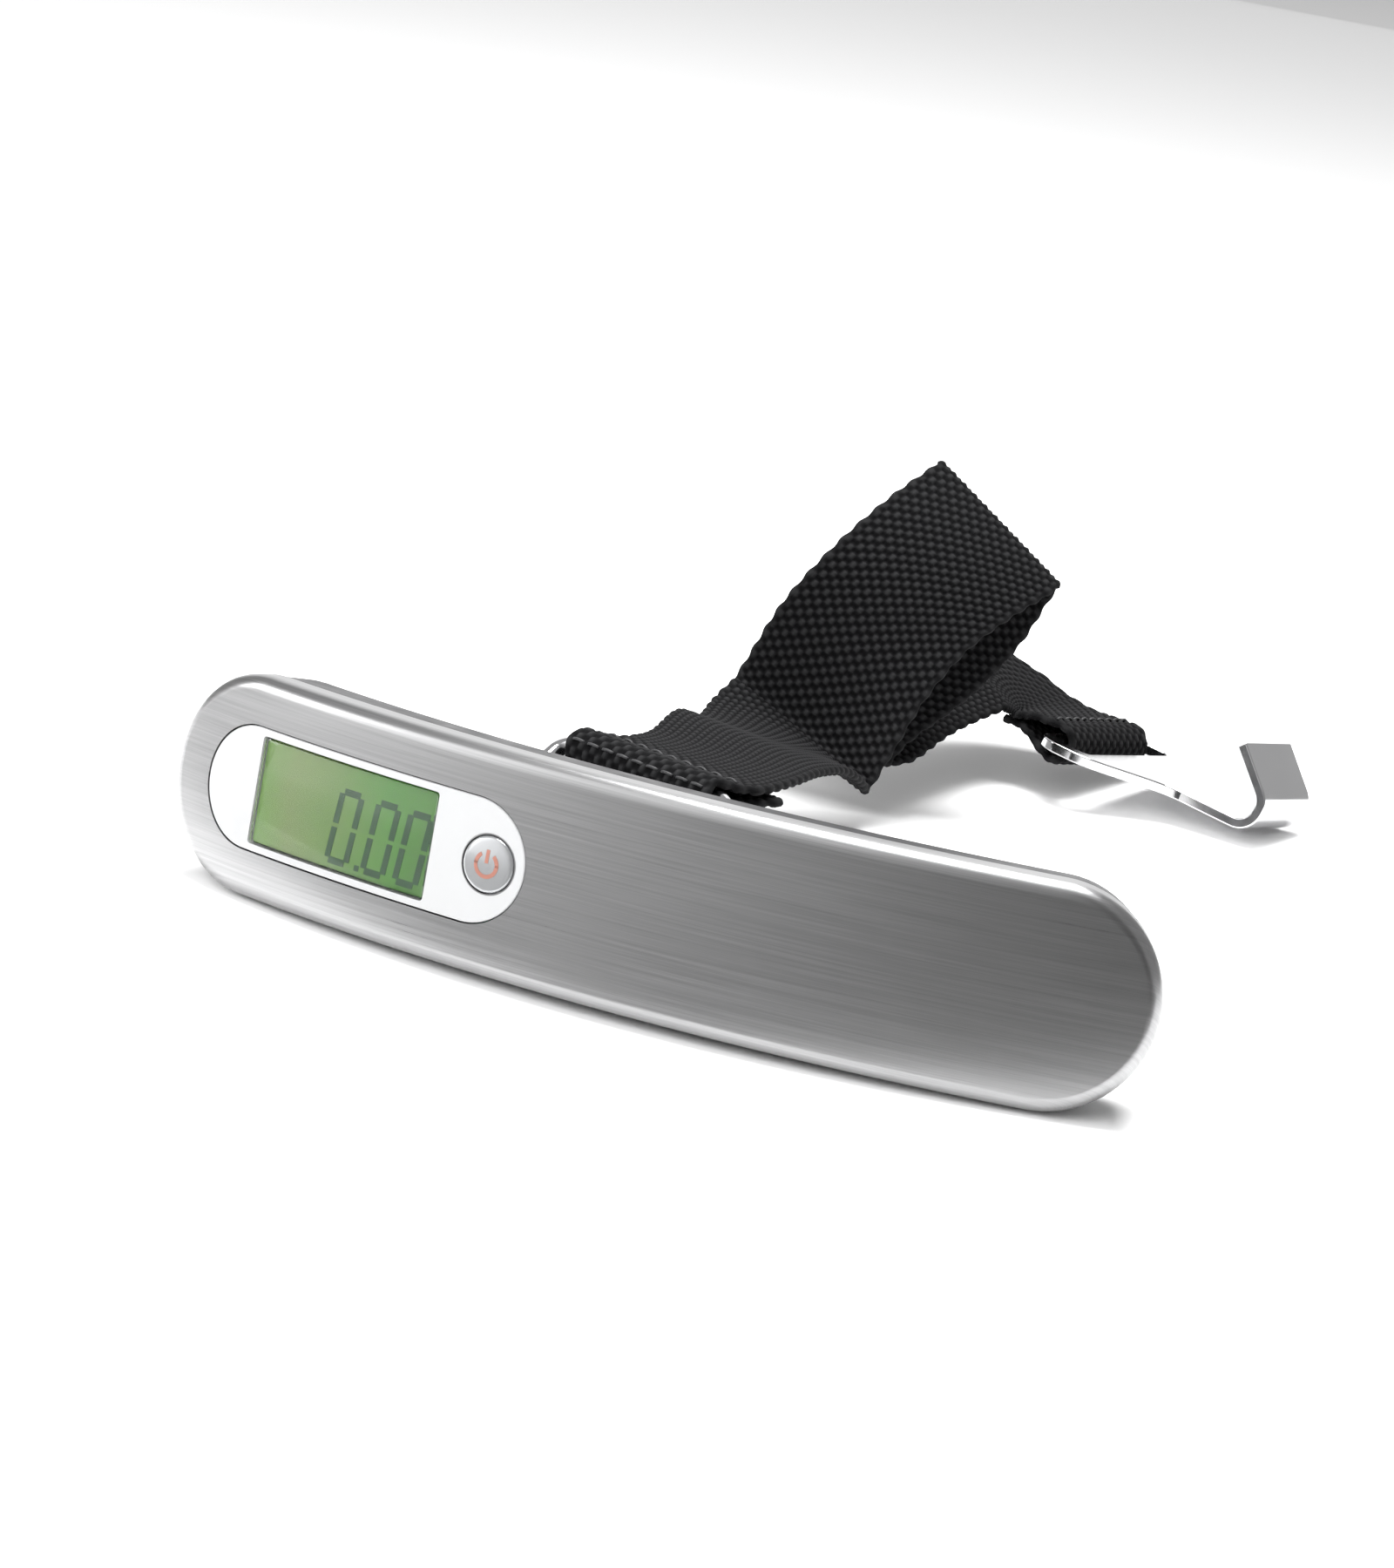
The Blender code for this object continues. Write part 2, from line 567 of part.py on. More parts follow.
def build_battery():
    depth = BODY_DEPTH - CAP_THICK - JOINT_GAP - 0.5
    y1 = depth - 0.5
    y0 = y1 - BATTERY_THICK
    smooth(disc("coin_cell", BATTERY_RADIUS, y0, y1, CELL, arc=BATTERY_ARC, steps=40, bevel=0.3, bevel_back=0.3,
                segments=2))
    spring = flat_prism("negative_contact", rectangle_points(12.0, 4.0, 0.6, 2), y0 - 0.75, y0 - 0.4, BRASS,
                        arc=BATTERY_ARC)
    tab = flat_prism("tab", rectangle_points(4.0, 1.6), y0 - 0.75, y0 - 0.4, BRASS, arc=BATTERY_ARC,
                     shift=(-6.6, 0))
    boolean(spring, tab, "UNION")
    side = BATTERY_RADIUS + 0.35
    clip = flat_prism("positive_contact", rectangle_points(0.4, 6.0), y0 - 0.7, y1 - 0.2, BRASS, arc=BATTERY_ARC,
                      shift=(-side - 0.2, 0))
    boolean(clip, flat_prism("foot", rectangle_points(3.0, 2.0), y0 - 0.7, y0 - 0.35, BRASS, arc=BATTERY_ARC,
                             shift=(-side - 1.6, 3.0)), "UNION")


def build_battery_cap():
    """Round cap with a coin slot. It turns in its seat to unlock."""
    cap = disc("battery_cap", CAP_RADIUS, BODY_DEPTH - CAP_THICK + JOINT_GAP, BODY_DEPTH + 0.1, BLACK,
               arc=BATTERY_ARC, steps=40, bevel_back=0.35, segments=2)
    slot = flat_prism("coin_slot", rectangle_points(13.0, 1.8, 0.9, 4), BODY_DEPTH - 0.75, BODY_DEPTH + 2, None,
                      arc=BATTERY_ARC, collection=CUTTERS)
    smooth(boolean(cap, slot))
    set_origin(cap, arch_point(BATTERY_ARC, BODY_DEPTH))


def build_leads():
    """Wires held inside the casing: battery to board, and gauges to board."""
    def route(points):
        return catmull_rom([arch_point(*p) for p in points], 4)
    tube_object("battery_lead_red", route([(40.5, 8.2, 5.5), (36.0, 10.5, 9.0), (20.0, 11.0, 9.6), (0.0, 11.0, 9.6),
                                           (-10.0, 10.0, 9.4), (-14.0, 8.0, 8.6), (-14.5, 7.1, 8.4)]),
                0.5, RED_WIRE, BODY_FRAME)
    tube_object("battery_lead_black", route([(40.0, 6.6, 0.0), (38.5, 9.0, -5.0), (36.0, 10.5, -8.6),
                                             (20.0, 11.0, -9.6), (0.0, 11.0, -9.6), (-10.0, 10.0, -9.2),
                                             (-14.0, 8.0, -8.4), (-14.5, 7.1, -8.2)]),
                0.5, BLACK_WIRE, BODY_FRAME)
    tube_object("gauge_lead", route([(14.5, 11.2, 3.0), (12.0, 11.6, 6.0), (4.0, 11.4, 7.4), (-8.0, 10.4, 7.0),
                                     (-12.5, 8.6, 5.4), (-13.0, 7.1, 5.0)]),
                0.6, WHITE_WIRE, BODY_FRAME)


# ---------------------------------------------------------------- ring, strap and hook

def body_to_bench(point):
    return Matrix.Rotation(-LEAN, 3, "X") @ Vector(point)


EYE_POINT = body_to_bench((EYE_X, EYE_DEPTH, 0.0))
RING_ACROSS = Vector((cos(RING_YAW), sin(RING_YAW), 0.0))
RING_OUT = Vector((-sin(RING_YAW) * cos(RING_RISE), cos(RING_YAW) * cos(RING_RISE), sin(RING_RISE)))
RING_FRONT = EYE_POINT - RING_ACROSS * RING_SHIFT
RING_REAR = RING_FRONT + RING_OUT * RING_LENGTH


def build_ring():
    """Rectangular wire ring with round corners."""
    points = []
    corners = ((1, 0, -pi / 2), (1, 1, 0), (-1, 1, pi / 2), (-1, 0, pi))
    for side, end, start in corners:
        for i in range(6):
            angle = start + pi / 2 * i / 5
            across = side * (RING_HALF_WIDTH - RING_CORNER) + RING_CORNER * cos(angle)
            out = end * RING_LENGTH + (1 - 2 * end) * RING_CORNER + RING_CORNER * sin(angle)
            points.append(RING_FRONT + RING_ACROSS * across + RING_OUT * out)
    ring = tube_object("load_ring", points, RING_WIRE, CHROME, BENCH, cyclic=True, resolution=3)
    set_origin(ring, RING_FRONT)


HOOK_X = HOOK_ALONG.normalized()
HOOK_Z = HOOK_X.cross(HOOK_ACROSS).normalized()
HOOK_Y = HOOK_Z.cross(HOOK_X).normalized()
HOOK_MATRIX = Matrix((HOOK_X, HOOK_Y, HOOK_Z)).transposed().to_4x4()
HOOK_MATRIX.translation = HOOK_ORIGIN
BAR_X = -HOOK_SHANK + HOOK_BAR / 2


def hook_profile():
    """Closed outline of the bent sheet in the hook's x and z."""
    middle = [(-HOOK_SHANK, HOOK_SHEET / 2), (0.0, HOOK_SHEET / 2)]
    centre = HOOK_BEND + HOOK_SHEET / 2
    steps = 12
    for i in range(1, steps + 1):
        a = HOOK_TURN * i / steps
        middle.append((HOOK_BEND * sin(a), centre - HOOK_BEND * cos(a)))
    last = middle[-1]
    middle.append((last[0] + HOOK_LIP * cos(HOOK_TURN), last[1] + HOOK_LIP * sin(HOOK_TURN)))
    inner, outer = [], []
    for i, (x, z) in enumerate(middle):
        a = min(max(i - 1, 0), steps) * HOOK_TURN / steps
        normal = (-sin(a), cos(a))
        inner.append((x + normal[0] * HOOK_SHEET / 2, z + normal[1] * HOOK_SHEET / 2))
        outer.append((x - normal[0] * HOOK_SHEET / 2, z - normal[1] * HOOK_SHEET / 2))
    return outer + inner[::-1]


def hook_half_width(x):
    """Half width of the flat blank: wide at the slot, narrow at the lip, with an easy flare between."""
    t = min(max((-x - 9.0) / 15.0, 0.0), 1.0)
    ease = t * t * (3 - 2 * t)
    return HOOK_LIP_HALF + (HOOK_BAR_HALF - HOOK_LIP_HALF) * ease


def build_hook():
    bm = prism(hook_profile(), -20.0, 20.0)
    bmesh.ops.transform(bm, matrix=HOOK_MATRIX, verts=bm.verts)
    hook = add_object("hook_plate", bm, CHROME, BENCH)

    corner = 4.0
    outline = [(12.0, -HOOK_LIP_HALF)]
    outline += [(-9.0 - i * 1.5, -hook_half_width(-9.0 - i * 1.5)) for i in range(11)]
    for i in range(7):
        a = pi / 2 * i / 6
        outline.append((-HOOK_SHANK + corner - corner * sin(a), -HOOK_BAR_HALF + corner - corner * cos(a)))
    outline += [(x, -y) for x, y in reversed(outline)]
    blank = vertical_prism("hook_blank", outline, -6.0, 26.0)
    boolean(hook, blank, "INTERSECT")
    slot = [(x + BAR_X + HOOK_BAR / 2 + HOOK_SLOT / 2, y)
            for x, y in rectangle_points(HOOK_SLOT, 2 * HOOK_SLOT_HALF, 1.2, 4)]
    smooth(boolean(hook, vertical_prism("hook_slot", slot, -4.0, 4.0)))
    set_origin(hook, HOOK_MATRIX @ Vector((BAR_X, 0.0, HOOK_SHEET / 2)))


def vertical_prism(name, outline, z0, z1):
    """Cutter in the hook's frame: an outline in x and y carried from z0 to z1."""
    bm = outline_solid(outline, z0, z1)
    bmesh.ops.transform(bm, matrix=HOOK_MATRIX, verts=bm.verts)
    return add_object(name, bm, None, BENCH, CUTTERS)


# Strap route. Each station is the middle of the webbing and the direction from its far to its near edge.
LOW_CREASE = Vector((-19.7, 108.0, -4.0))
CREASE_ACROSS = Vector((0.86, 0.17, -0.48))
TOP_ACROSS = Vector((0.80, 0.12, -0.585))
RUN_STATIONS = (
    ((-9.6, 55.0, 5.2), (0.96, -0.24, 0.00)),
    ((-12.6, 71.0, 3.6), (0.96, -0.18, -0.08)),
    ((-15.8, 88.0, -0.6), (0.95, -0.12, -0.06)),
    ((-18.4, 100.5, -3.0), (0.91, 0.06, -0.27)),
)
# The tall fold, seen square to the webbing's edges: forward and up from the low crease, then how far the
# webbing is slid sideways there, and how far its near edge leans back
FOLD_PROFILE = (
    (-1.35, 0.33, 0.0, 0.0), (-0.03, 0.27, 0.0, 0.0), (1.09, 0.99, 0.0, 0.0), (1.6, 2.3, -0.1, 0.0),
    (2.0, 5.0, -0.3, 0.05), (3.6, 14.0, -1.3, 0.24), (8.0, 22.6, -1.5, 0.32), (14.6, 29.6, -0.9, 0.20),
    (20.6, 34.0, -0.2, 0.05), (23.2, 35.5, 0.0, 0.0), (24.8, 35.7, 0.0, 0.0), (26.2, 34.9, 0.1, 0.0),
    (26.9, 33.4, 0.4, 0.0), (26.7, 31.4, 1.0, -0.04), (25.4, 25.4, 2.6, -0.10), (22.8, 18.4, 3.0, -0.10),
    (19.2, 11.8, 2.0, -0.05), (16.2, 7.6, 0.8, 0.0), (14.2, 5.3, 0.2, 0.0), (12.5, 4.6, 0.0, 0.0),
    (11.7, 3.0, 0.0, 0.0), (12.4, 1.4, 0.0, 0.0), (14.0, 0.9, 0.0, 0.0),
)
# From the foot of the fold to the turn: near edge, and direction from far to near edge. Then the strap turns
# towards the hook round a pivot by its near edge.
APPROACH_STATIONS = (
    ((-9.2, 127.5, -8.7), (0.86, 0.06, -0.50)),
    ((-8.0, 135.9, -6.6), (0.88, -0.08, -0.47)),
    ((-6.6, 142.5, -5.2), (0.88, -0.20, -0.43)),
)
TURN_PIVOT = Vector((-3.4, 150.4, -4.6))
TURN_ACROSS = Vector((0.86, -0.34, -0.38))
TURN_INSIDE = 1.4          # the near edge's distance from the pivot


def fold_station(forward, up, sideways, lean):
    """A station of the tall fold."""
    across = CREASE_ACROSS.lerp(TOP_ACROSS, up / 36.0).normalized()
    level = Vector((-across.y, across.x, 0.0)).normalized()
    slip = sideways - 2.6 * up / 36.0
    place = LOW_CREASE + level * forward + across.cross(level) * up + across * slip
    return place, (across + level * lean).normalized()


def ring_end():
    """Webbing turned round the ring's rear bar: stations from the sewn tail to where it leaves the bar."""
    across = RING_ACROSS
    run = Vector((-across.y, across.x, -0.08)).normalized()
    reach = RING_WIRE + WEB_GAP + WEB_THICK / 2
    return turned_end(RING_REAR, across, run, across.cross(run), reach, RING_TAIL, 9.0)


def hook_end():
    """Webbing turned round the hook's end bar."""
    bar = HOOK_MATRIX @ Vector((BAR_X, 0.0, HOOK_SHEET / 2))
    across = -HOOK_Y
    run = (HOOK_MATRIX.to_3x3() @ Vector((-0.98, 0.0, 0.18))).normalized()
    reach = sqrt(HOOK_BAR ** 2 + HOOK_SHEET ** 2) / 2 + WEB_GAP + WEB_THICK / 2
    return turned_end(bar, across, run, run.cross(across), reach, HOOK_TAIL, 5.5, droop=0.9)[::-1]


def turned_end(centre, across, run, up, reach, tail, straight, droop=0.0):
    """A tail that lies under the strap, then the turn round a bar, then the strap's first straight part."""
    half = (WEB_THICK + WEB_GAP) / 2
    points = [(tail, -half - droop), (tail * 0.8, -half - droop * 0.6), (reach + 2.8, -half - 0.3)]
    for i in range(9):
        angle = radians(-62.0 - (298.0 - 62.0) * i / 8)
        points.append((reach * cos(angle), reach * sin(angle)))
    points += [(reach + 2.8, half + 0.3), (straight + 0.2, half + 0.1)]
    return [(centre + run * x + up * z, across) for x, z in points]


def strap_stations():
    """Evenly spaced cross sections of the whole strap."""
    stations = ring_end()
    stations += [(Vector(middle), Vector(across).normalized()) for middle, across in RUN_STATIONS]
    stations += [fold_station(*place) for place in FOLD_PROFILE]
    for near_edge, across in APPROACH_STATIONS:
        across = Vector(across).normalized()
        stations.append((Vector(near_edge) - across * (WEB_WIDTH / 2), across))
    for i in range(6):
        across = TURN_ACROSS.normalized().slerp(-HOOK_Y, i / 5.6)
        stations.append((TURN_PIVOT - across * (WEB_WIDTH / 2 + TURN_INSIDE), across))
    stations += hook_end()
    middles = catmull_rom([c for c, w in stations], 12)
    widths = catmull_rom([w for c, w in stations], 12)
    kept = [(middles[0], widths[0].normalized())]
    travelled = 0.0
    for (a, b), w in zip(zip(middles, middles[1:]), widths[1:]):
        travelled += (b - a).length
        if travelled >= spacing_near(b):
            kept.append((b, w.normalized()))
            travelled = 0.0
    kept.append((middles[-1], widths[-1].normalized()))
    return kept


def spacing_near(point):
    """Short steps round the two bars, longer ones along the free strap."""
    bar = HOOK_MATRIX @ Vector((BAR_X, 0.0, 0.0))
    close = min((point - RING_REAR).length, (point - bar).length)
    return 0.7 if close < 6.0 else STATION_STEP


def build_strap():
    """One ribbon of webbing as a thin solid."""
    bm = bmesh.new()
    rows = []
    for middle, across in strap_stations():
        rows.append([bm.verts.new(middle + across * (WEB_WIDTH * t)) for t in (-0.5, 0.0, 0.5)])
    for a, b in zip(rows, rows[1:]):
        for i in range(2):
            bm.faces.new((a[i], a[i + 1], b[i + 1], b[i]))
    strap = smooth(add_object("strap_webbing", bm, WEBBING, BENCH))
    set_origin(strap, RING_REAR)
    solid = strap.modifiers.new("thickness", "SOLIDIFY")
    solid.thickness = WEB_THICK * MM
    solid.offset = 0.0
    solid.use_even_offset = False


build_front_cover()
build_bezel()
build_display()
build_board()
build_button()
build_casing()
build_casing_screws()
build_load_cell()
build_beam_screws()
build_beam_block()
build_load_eye()
build_battery()
build_battery_cap()
build_leads()
build_ring()
build_hook()
build_strap()
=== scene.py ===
"""Looks of the luggage scale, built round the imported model.

Shapes are made in millimetres, in the bar's frame or on the bench, and add_piece scales them to metres.
Textures, bevels, the camera, the lights and the stage are in metres.
"""
from collections import namedtuple
from math import cos, hypot, pi, radians, sin, sqrt, tan

import bmesh
import bpy
import numpy as np
from mathutils import Matrix, Vector


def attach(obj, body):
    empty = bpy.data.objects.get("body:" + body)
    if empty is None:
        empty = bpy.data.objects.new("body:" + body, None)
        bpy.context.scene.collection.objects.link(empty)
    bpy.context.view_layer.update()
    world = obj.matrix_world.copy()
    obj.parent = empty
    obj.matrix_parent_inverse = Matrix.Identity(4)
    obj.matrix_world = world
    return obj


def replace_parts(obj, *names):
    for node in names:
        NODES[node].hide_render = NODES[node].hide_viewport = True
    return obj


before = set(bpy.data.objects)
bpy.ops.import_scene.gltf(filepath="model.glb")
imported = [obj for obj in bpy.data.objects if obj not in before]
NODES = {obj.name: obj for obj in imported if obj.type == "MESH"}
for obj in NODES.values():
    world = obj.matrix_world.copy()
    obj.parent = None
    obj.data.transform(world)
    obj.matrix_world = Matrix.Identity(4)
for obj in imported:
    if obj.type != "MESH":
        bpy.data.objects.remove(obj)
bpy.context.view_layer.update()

MM = 0.001

# ---------------------------------------------------------------- camera

camera_data = bpy.data.cameras.new("camera")
camera_data.lens = 120.0
camera_data.sensor_width = 36.0
camera_data.clip_start = 0.01
camera_data.clip_end = 20.0
camera = bpy.data.objects.new("camera", camera_data)
camera.location = (0.2394, -0.65159, 0.19564)
camera.rotation_euler = (radians(74.78), radians(-8.09), radians(24.39))
bpy.context.scene.collection.objects.link(camera)
bpy.context.scene.camera = camera

# ---------------------------------------------------------------- dimensions, as in the CAD model

ARCH_RADIUS = 180.0
LENGTH, WIDTH, DEPTH = 140.0, 28.5, 14.0
LEAN = radians(5.0)
FACE_TOP = Vector((0.0, -89.0, 15.27))
BENCH = Matrix.Translation(FACE_TOP)
BODY = BENCH @ Matrix.Rotation(-LEAN, 4, "X")
PANEL_ARC, WINDOW_ARC, BUTTON_ARC, BATTERY_ARC = -37.0, -39.5, -16.4, 53.0
EYE_X, EYE_DEPTH = -5.0, 17.6

COVER_DEPTH, COVER_SKIN, COVER_RIM = 4.0, 0.7, 2.0
PANEL_LENGTH, PANEL_WIDTH, PANEL_DEPTH, PANEL_GAP = 51.5, 15.9, 1.3, 0.15
CASING_START, CASING_WALL, CASING_DRAFT = 4.3, 1.9, radians(5.0)
SCREW_PLACES = ((-61.0, 0.0), (-20.0, 0.0), (32.0, 7.6))
GLASS_LENGTH, GLASS_WIDTH = 28.4, 13.3
BUTTON_RADIUS, BUTTON_PROUD, DOME_HEIGHT = 3.6, 0.55, 0.30


def arch_point(arc, depth, across=0.0):
    """The place at an arc length from the middle, a depth behind the face and a height across it."""
    angle = arc / ARCH_RADIUS
    radius = ARCH_RADIUS - depth
    return Vector((radius * sin(angle), ARCH_RADIUS - radius * cos(angle), across))


def arch_matrix(arc):
    return Matrix.Translation(arch_point(arc, 0)) @ Matrix.Rotation(arc / ARCH_RADIUS, 4, "Z")


# ---------------------------------------------------------------- node helpers

def new_material(name, color=(0.5, 0.5, 0.5), roughness=0.5, metallic=0.0):
    mat = bpy.data.materials.new(name)
    mat.use_nodes = True
    shader = mat.node_tree.nodes["Principled BSDF"]
    shader.inputs["Base Color"].default_value = (*color, 1.0)
    shader.inputs["Roughness"].default_value = roughness
    shader.inputs["Metallic"].default_value = metallic
    return mat, mat.node_tree, shader


def add_node(tree, kind, **values):
    """A node with its inputs or its own settings given by name."""
    node = tree.nodes.new(kind)
    for key, value in values.items():
        if key in node.inputs:
            node.inputs[key].default_value = value
        else:
            setattr(node, key, value)
    return node


def position(tree, source="Object", scale=(1.0, 1.0, 1.0)):
    coords = tree.nodes.new("ShaderNodeTexCoord")
    mapping = tree.nodes.new("ShaderNodeMapping")
    mapping.inputs["Scale"].default_value = scale
    tree.links.new(coords.outputs[source], mapping.inputs["Vector"])
    return mapping.outputs["Vector"]


def noise(tree, vector, scale, detail=3.0, rough=0.5):
    node = add_node(tree, "ShaderNodeTexNoise", Scale=scale, Detail=detail, Roughness=rough)
    tree.links.new(vector, node.inputs["Vector"])
    return node.outputs["Fac"]


def ramp(tree, fac, stops):
    node = tree.nodes.new("ShaderNodeValToRGB")
    elements = node.color_ramp.elements
    while len(elements) < len(stops):
        elements.new(0.5)
    for element, (place, color) in zip(elements, stops):
        element.position = place
        element.color = (*color, 1.0)
    tree.links.new(fac, node.inputs["Fac"])
    return node.outputs["Color"]


def map_range(tree, fac, low, high, to_low, to_high):
    node = tree.nodes.new("ShaderNodeMapRange")
    limits = {"From Min": low, "From Max": high, "To Min": to_low, "To Max": to_high}
    for name, value in limits.items():
        node.inputs[name].default_value = value
    tree.links.new(fac, node.inputs["Value"])
    return node.outputs["Result"]


def bump(tree, shader, height, distance, strength=1.0):
    node = add_node(tree, "ShaderNodeBump", Strength=strength, Distance=distance)
    tree.links.new(height, node.inputs["Height"])
    tree.links.new(node.outputs["Normal"], shader.inputs["Normal"])


def mottle(tree, shader, vector, color, dark, color_noise, roughness_noise, roughness_range):
    """Colour that drifts down to a share of itself, and roughness that drifts between two values."""
    shades = ((0.3, tuple(c * dark for c in color)), (0.7, color))
    tree.links.new(ramp(tree, noise(tree, vector, *color_noise), shades), shader.inputs["Base Color"])
    drift = map_range(tree, noise(tree, vector, roughness_noise, 3.0), 0.3, 0.7, *roughness_range)
    tree.links.new(drift, shader.inputs["Roughness"])


# ---------------------------------------------------------------- materials

def brushed_steel():
    """Steel brushed along the bar. The UV map holds the arc length and the place across, in metres."""
    mat, tree, shader = new_material("brushed_face", (0.50, 0.50, 0.505), 0.34, 1.0)
    fine = noise(tree, position(tree, "UV", (60.0, 9000.0, 1.0)), 1.0, 4.0, 0.65)
    broad = noise(tree, position(tree, "UV", (22.0, 2600.0, 1.0)), 1.0, 3.0, 0.5)
    mix = add_node(tree, "ShaderNodeMath", operation="ADD")
    tree.links.new(fine, mix.inputs[0])
    tree.links.new(broad, mix.inputs[1])
    streak = mix.outputs[0]
    tones = ((0.0, (0.355, 0.355, 0.359)), (0.5, (0.41, 0.41, 0.414)), (1.0, (0.465, 0.465, 0.469)))
    color = ramp(tree, map_range(tree, streak, 0.7, 1.3, 0.0, 1.0), tones)
    tree.links.new(color, shader.inputs["Base Color"])
    tree.links.new(map_range(tree, streak, 0.6, 1.4, 0.27, 0.32), shader.inputs["Roughness"])
    tangent = add_node(tree, "ShaderNodeTangent", direction_type="UV_MAP")
    tree.links.new(tangent.outputs["Tangent"], shader.inputs["Tangent"])
    shader.inputs["Anisotropic"].default_value = 0.4
    shader.inputs["Anisotropic Rotation"].default_value = 0.25
    bump(tree, shader, fine, 0.000002, 0.35)
    return mat


def polished_steel(name="polished_steel", color=(0.78, 0.78, 0.79), roughness=0.10):
    """Bright metal with faint drifts of colour and polish."""
    mat, tree, shader = new_material(name, color, roughness, 1.0)
    vector = position(tree)
    mottle(tree, shader, vector, color, 0.93, (60.0, 2.0), 140.0, (roughness * 0.7, roughness * 1.6))
    bump(tree, shader, noise(tree, vector, 2500.0, 2.0), 0.000002, 0.4)
    return mat


def plastic(name, color, roughness, grain=1400.0, depth=0.000012, coat=0.0, spread=0.12, metallic=0.0):
    """Moulded or painted plastic with a fine surface grain and, if wanted, a clear coat."""
    mat, tree, shader = new_material(name, color, roughness, metallic)
    vector = position(tree)
    mottle(tree, shader, vector, color, 1 - spread, (45.0, 3.0), 220.0, (roughness * 0.85, roughness * 1.2))
    shader.inputs["Coat Weight"].default_value = coat
    shader.inputs["Coat Roughness"].default_value = 0.06
    bump(tree, shader, noise(tree, vector, grain, 2.0), depth, 0.5)
    return mat


def display_material():
    """Backlit green, with a painted reflection that makes it paler and greyer towards the left. The UV map
    runs over the glass from 0 to 1.
    """
    mat, tree, shader = new_material("display_green", (0.2, 0.45, 0.12), 0.35)
    coords = tree.nodes.new("ShaderNodeTexCoord")
    split = tree.nodes.new("ShaderNodeSeparateXYZ")
    tree.links.new(coords.outputs["UV"], split.inputs["Vector"])
    wobble = noise(tree, position(tree, "UV", (3.0, 1.6, 1.0)), 1.0, 2.0)
    place = add_node(tree, "ShaderNodeMath", operation="MULTIPLY_ADD")
    place.inputs[1].default_value = 0.30
    tree.links.new(wobble, place.inputs[0])
    tree.links.new(split.outputs["X"], place.inputs[2])
    # The paler, greyer stops on the left are painted reflection, and the glow takes the same colours.
    greens_and_reflection = ((0.0, (0.075, 0.18, 0.015)), (0.22, (0.115, 0.165, 0.045)), (0.5, (0.08, 0.155, 0.028)),
              (0.8, (0.042, 0.15, 0.014)), (1.0, (0.035, 0.12, 0.01)))
    color = ramp(tree, map_range(tree, place.outputs[0], 0.1, 1.15, 0.0, 1.0), greens_and_reflection)
    tree.links.new(color, shader.inputs["Base Color"])
    tree.links.new(color, shader.inputs["Emission Color"])
    shader.inputs["Emission Strength"].default_value = 0.22
    return mat


def webbing_material():
    """Black woven polyester: fibres along each yarn, and a painted shade from the weave's relief, its ridges
    a little paler than its hollows.
    """
    mat, tree, shader = new_material("woven_webbing", (0.02, 0.02, 0.021), 0.72)
    fibre = noise(tree, position(tree, "UV", (1300.0, 5200.0, 1.0)), 1.0, 3.0, 0.6)
    # Painted shade of the weave: paler ridges and darker hollows, mixed with the fibre noise and read
    # through the ramp into the colour.
    yarn = add_node(tree, "ShaderNodeAttribute", attribute_name="weave_relief_shade")
    mix = add_node(tree, "ShaderNodeMath", operation="MULTIPLY_ADD")
    mix.inputs[1].default_value = 0.5
    tree.links.new(fibre, mix.inputs[0])
    tree.links.new(yarn.outputs["Fac"], mix.inputs[2])
    blacks = ((0.0, (0.002, 0.002, 0.0023)), (0.5, (0.0075, 0.0075, 0.008)), (1.0, (0.026, 0.026, 0.027)))
    color = ramp(tree, map_range(tree, mix.outputs[0], 0.15, 1.25, 0.0, 1.0), blacks)
    tree.links.new(color, shader.inputs["Base Color"])
    tree.links.new(map_range(tree, fibre, 0.3, 0.7, 0.62, 0.85), shader.inputs["Roughness"])
    shader.inputs["Sheen Weight"].default_value = 0.01
    shader.inputs["Sheen Roughness"].default_value = 0.45
    shader.inputs["Specular IOR Level"].default_value = 0.04
    bump(tree, shader, fibre, 0.00004, 0.7)
    return mat


def window_material():
    """Clear plastic with a trace of haze."""
    mat, tree, shader = new_material("window_clear", (0.98, 1.0, 0.98), 0.0)
    shader.inputs["Transmission Weight"].default_value = 1.0
    shader.inputs["IOR"].default_value = 1.3
    haze = map_range(tree, noise(tree, position(tree), 300.0, 2.0), 0.3, 0.7, 0.0, 0.03)
    tree.links.new(haze, shader.inputs["Roughness"])
    return mat


STEEL = brushed_steel()
POLISHED = polished_steel()
WHITE = plastic("white_panel", (0.50, 0.505, 0.51), 0.18, grain=600.0, depth=0.000004, coat=0.5, spread=0.03)
BLACK = plastic("black_casing", (0.022, 0.022, 0.024), 0.42)
DISPLAY = display_material()
SEGMENT = plastic("display_segment", (0.006, 0.05, 0.01), 0.5, grain=400.0, depth=0.000001)
WEBBING = webbing_material()
THREAD = plastic("sewing_thread", (0.03, 0.03, 0.032), 0.6, grain=5200.0, depth=0.00002)
BUTTON = plastic("button_silver", (0.52, 0.53, 0.54), 0.22, grain=500.0, depth=0.000003, coat=0.6,
                 spread=0.15, metallic=0.7)
ICON = plastic("icon_red_brown", (0.36, 0.15, 0.11), 0.35, grain=700.0, depth=0.000002)


# ---------------------------------------------------------------- mesh helpers

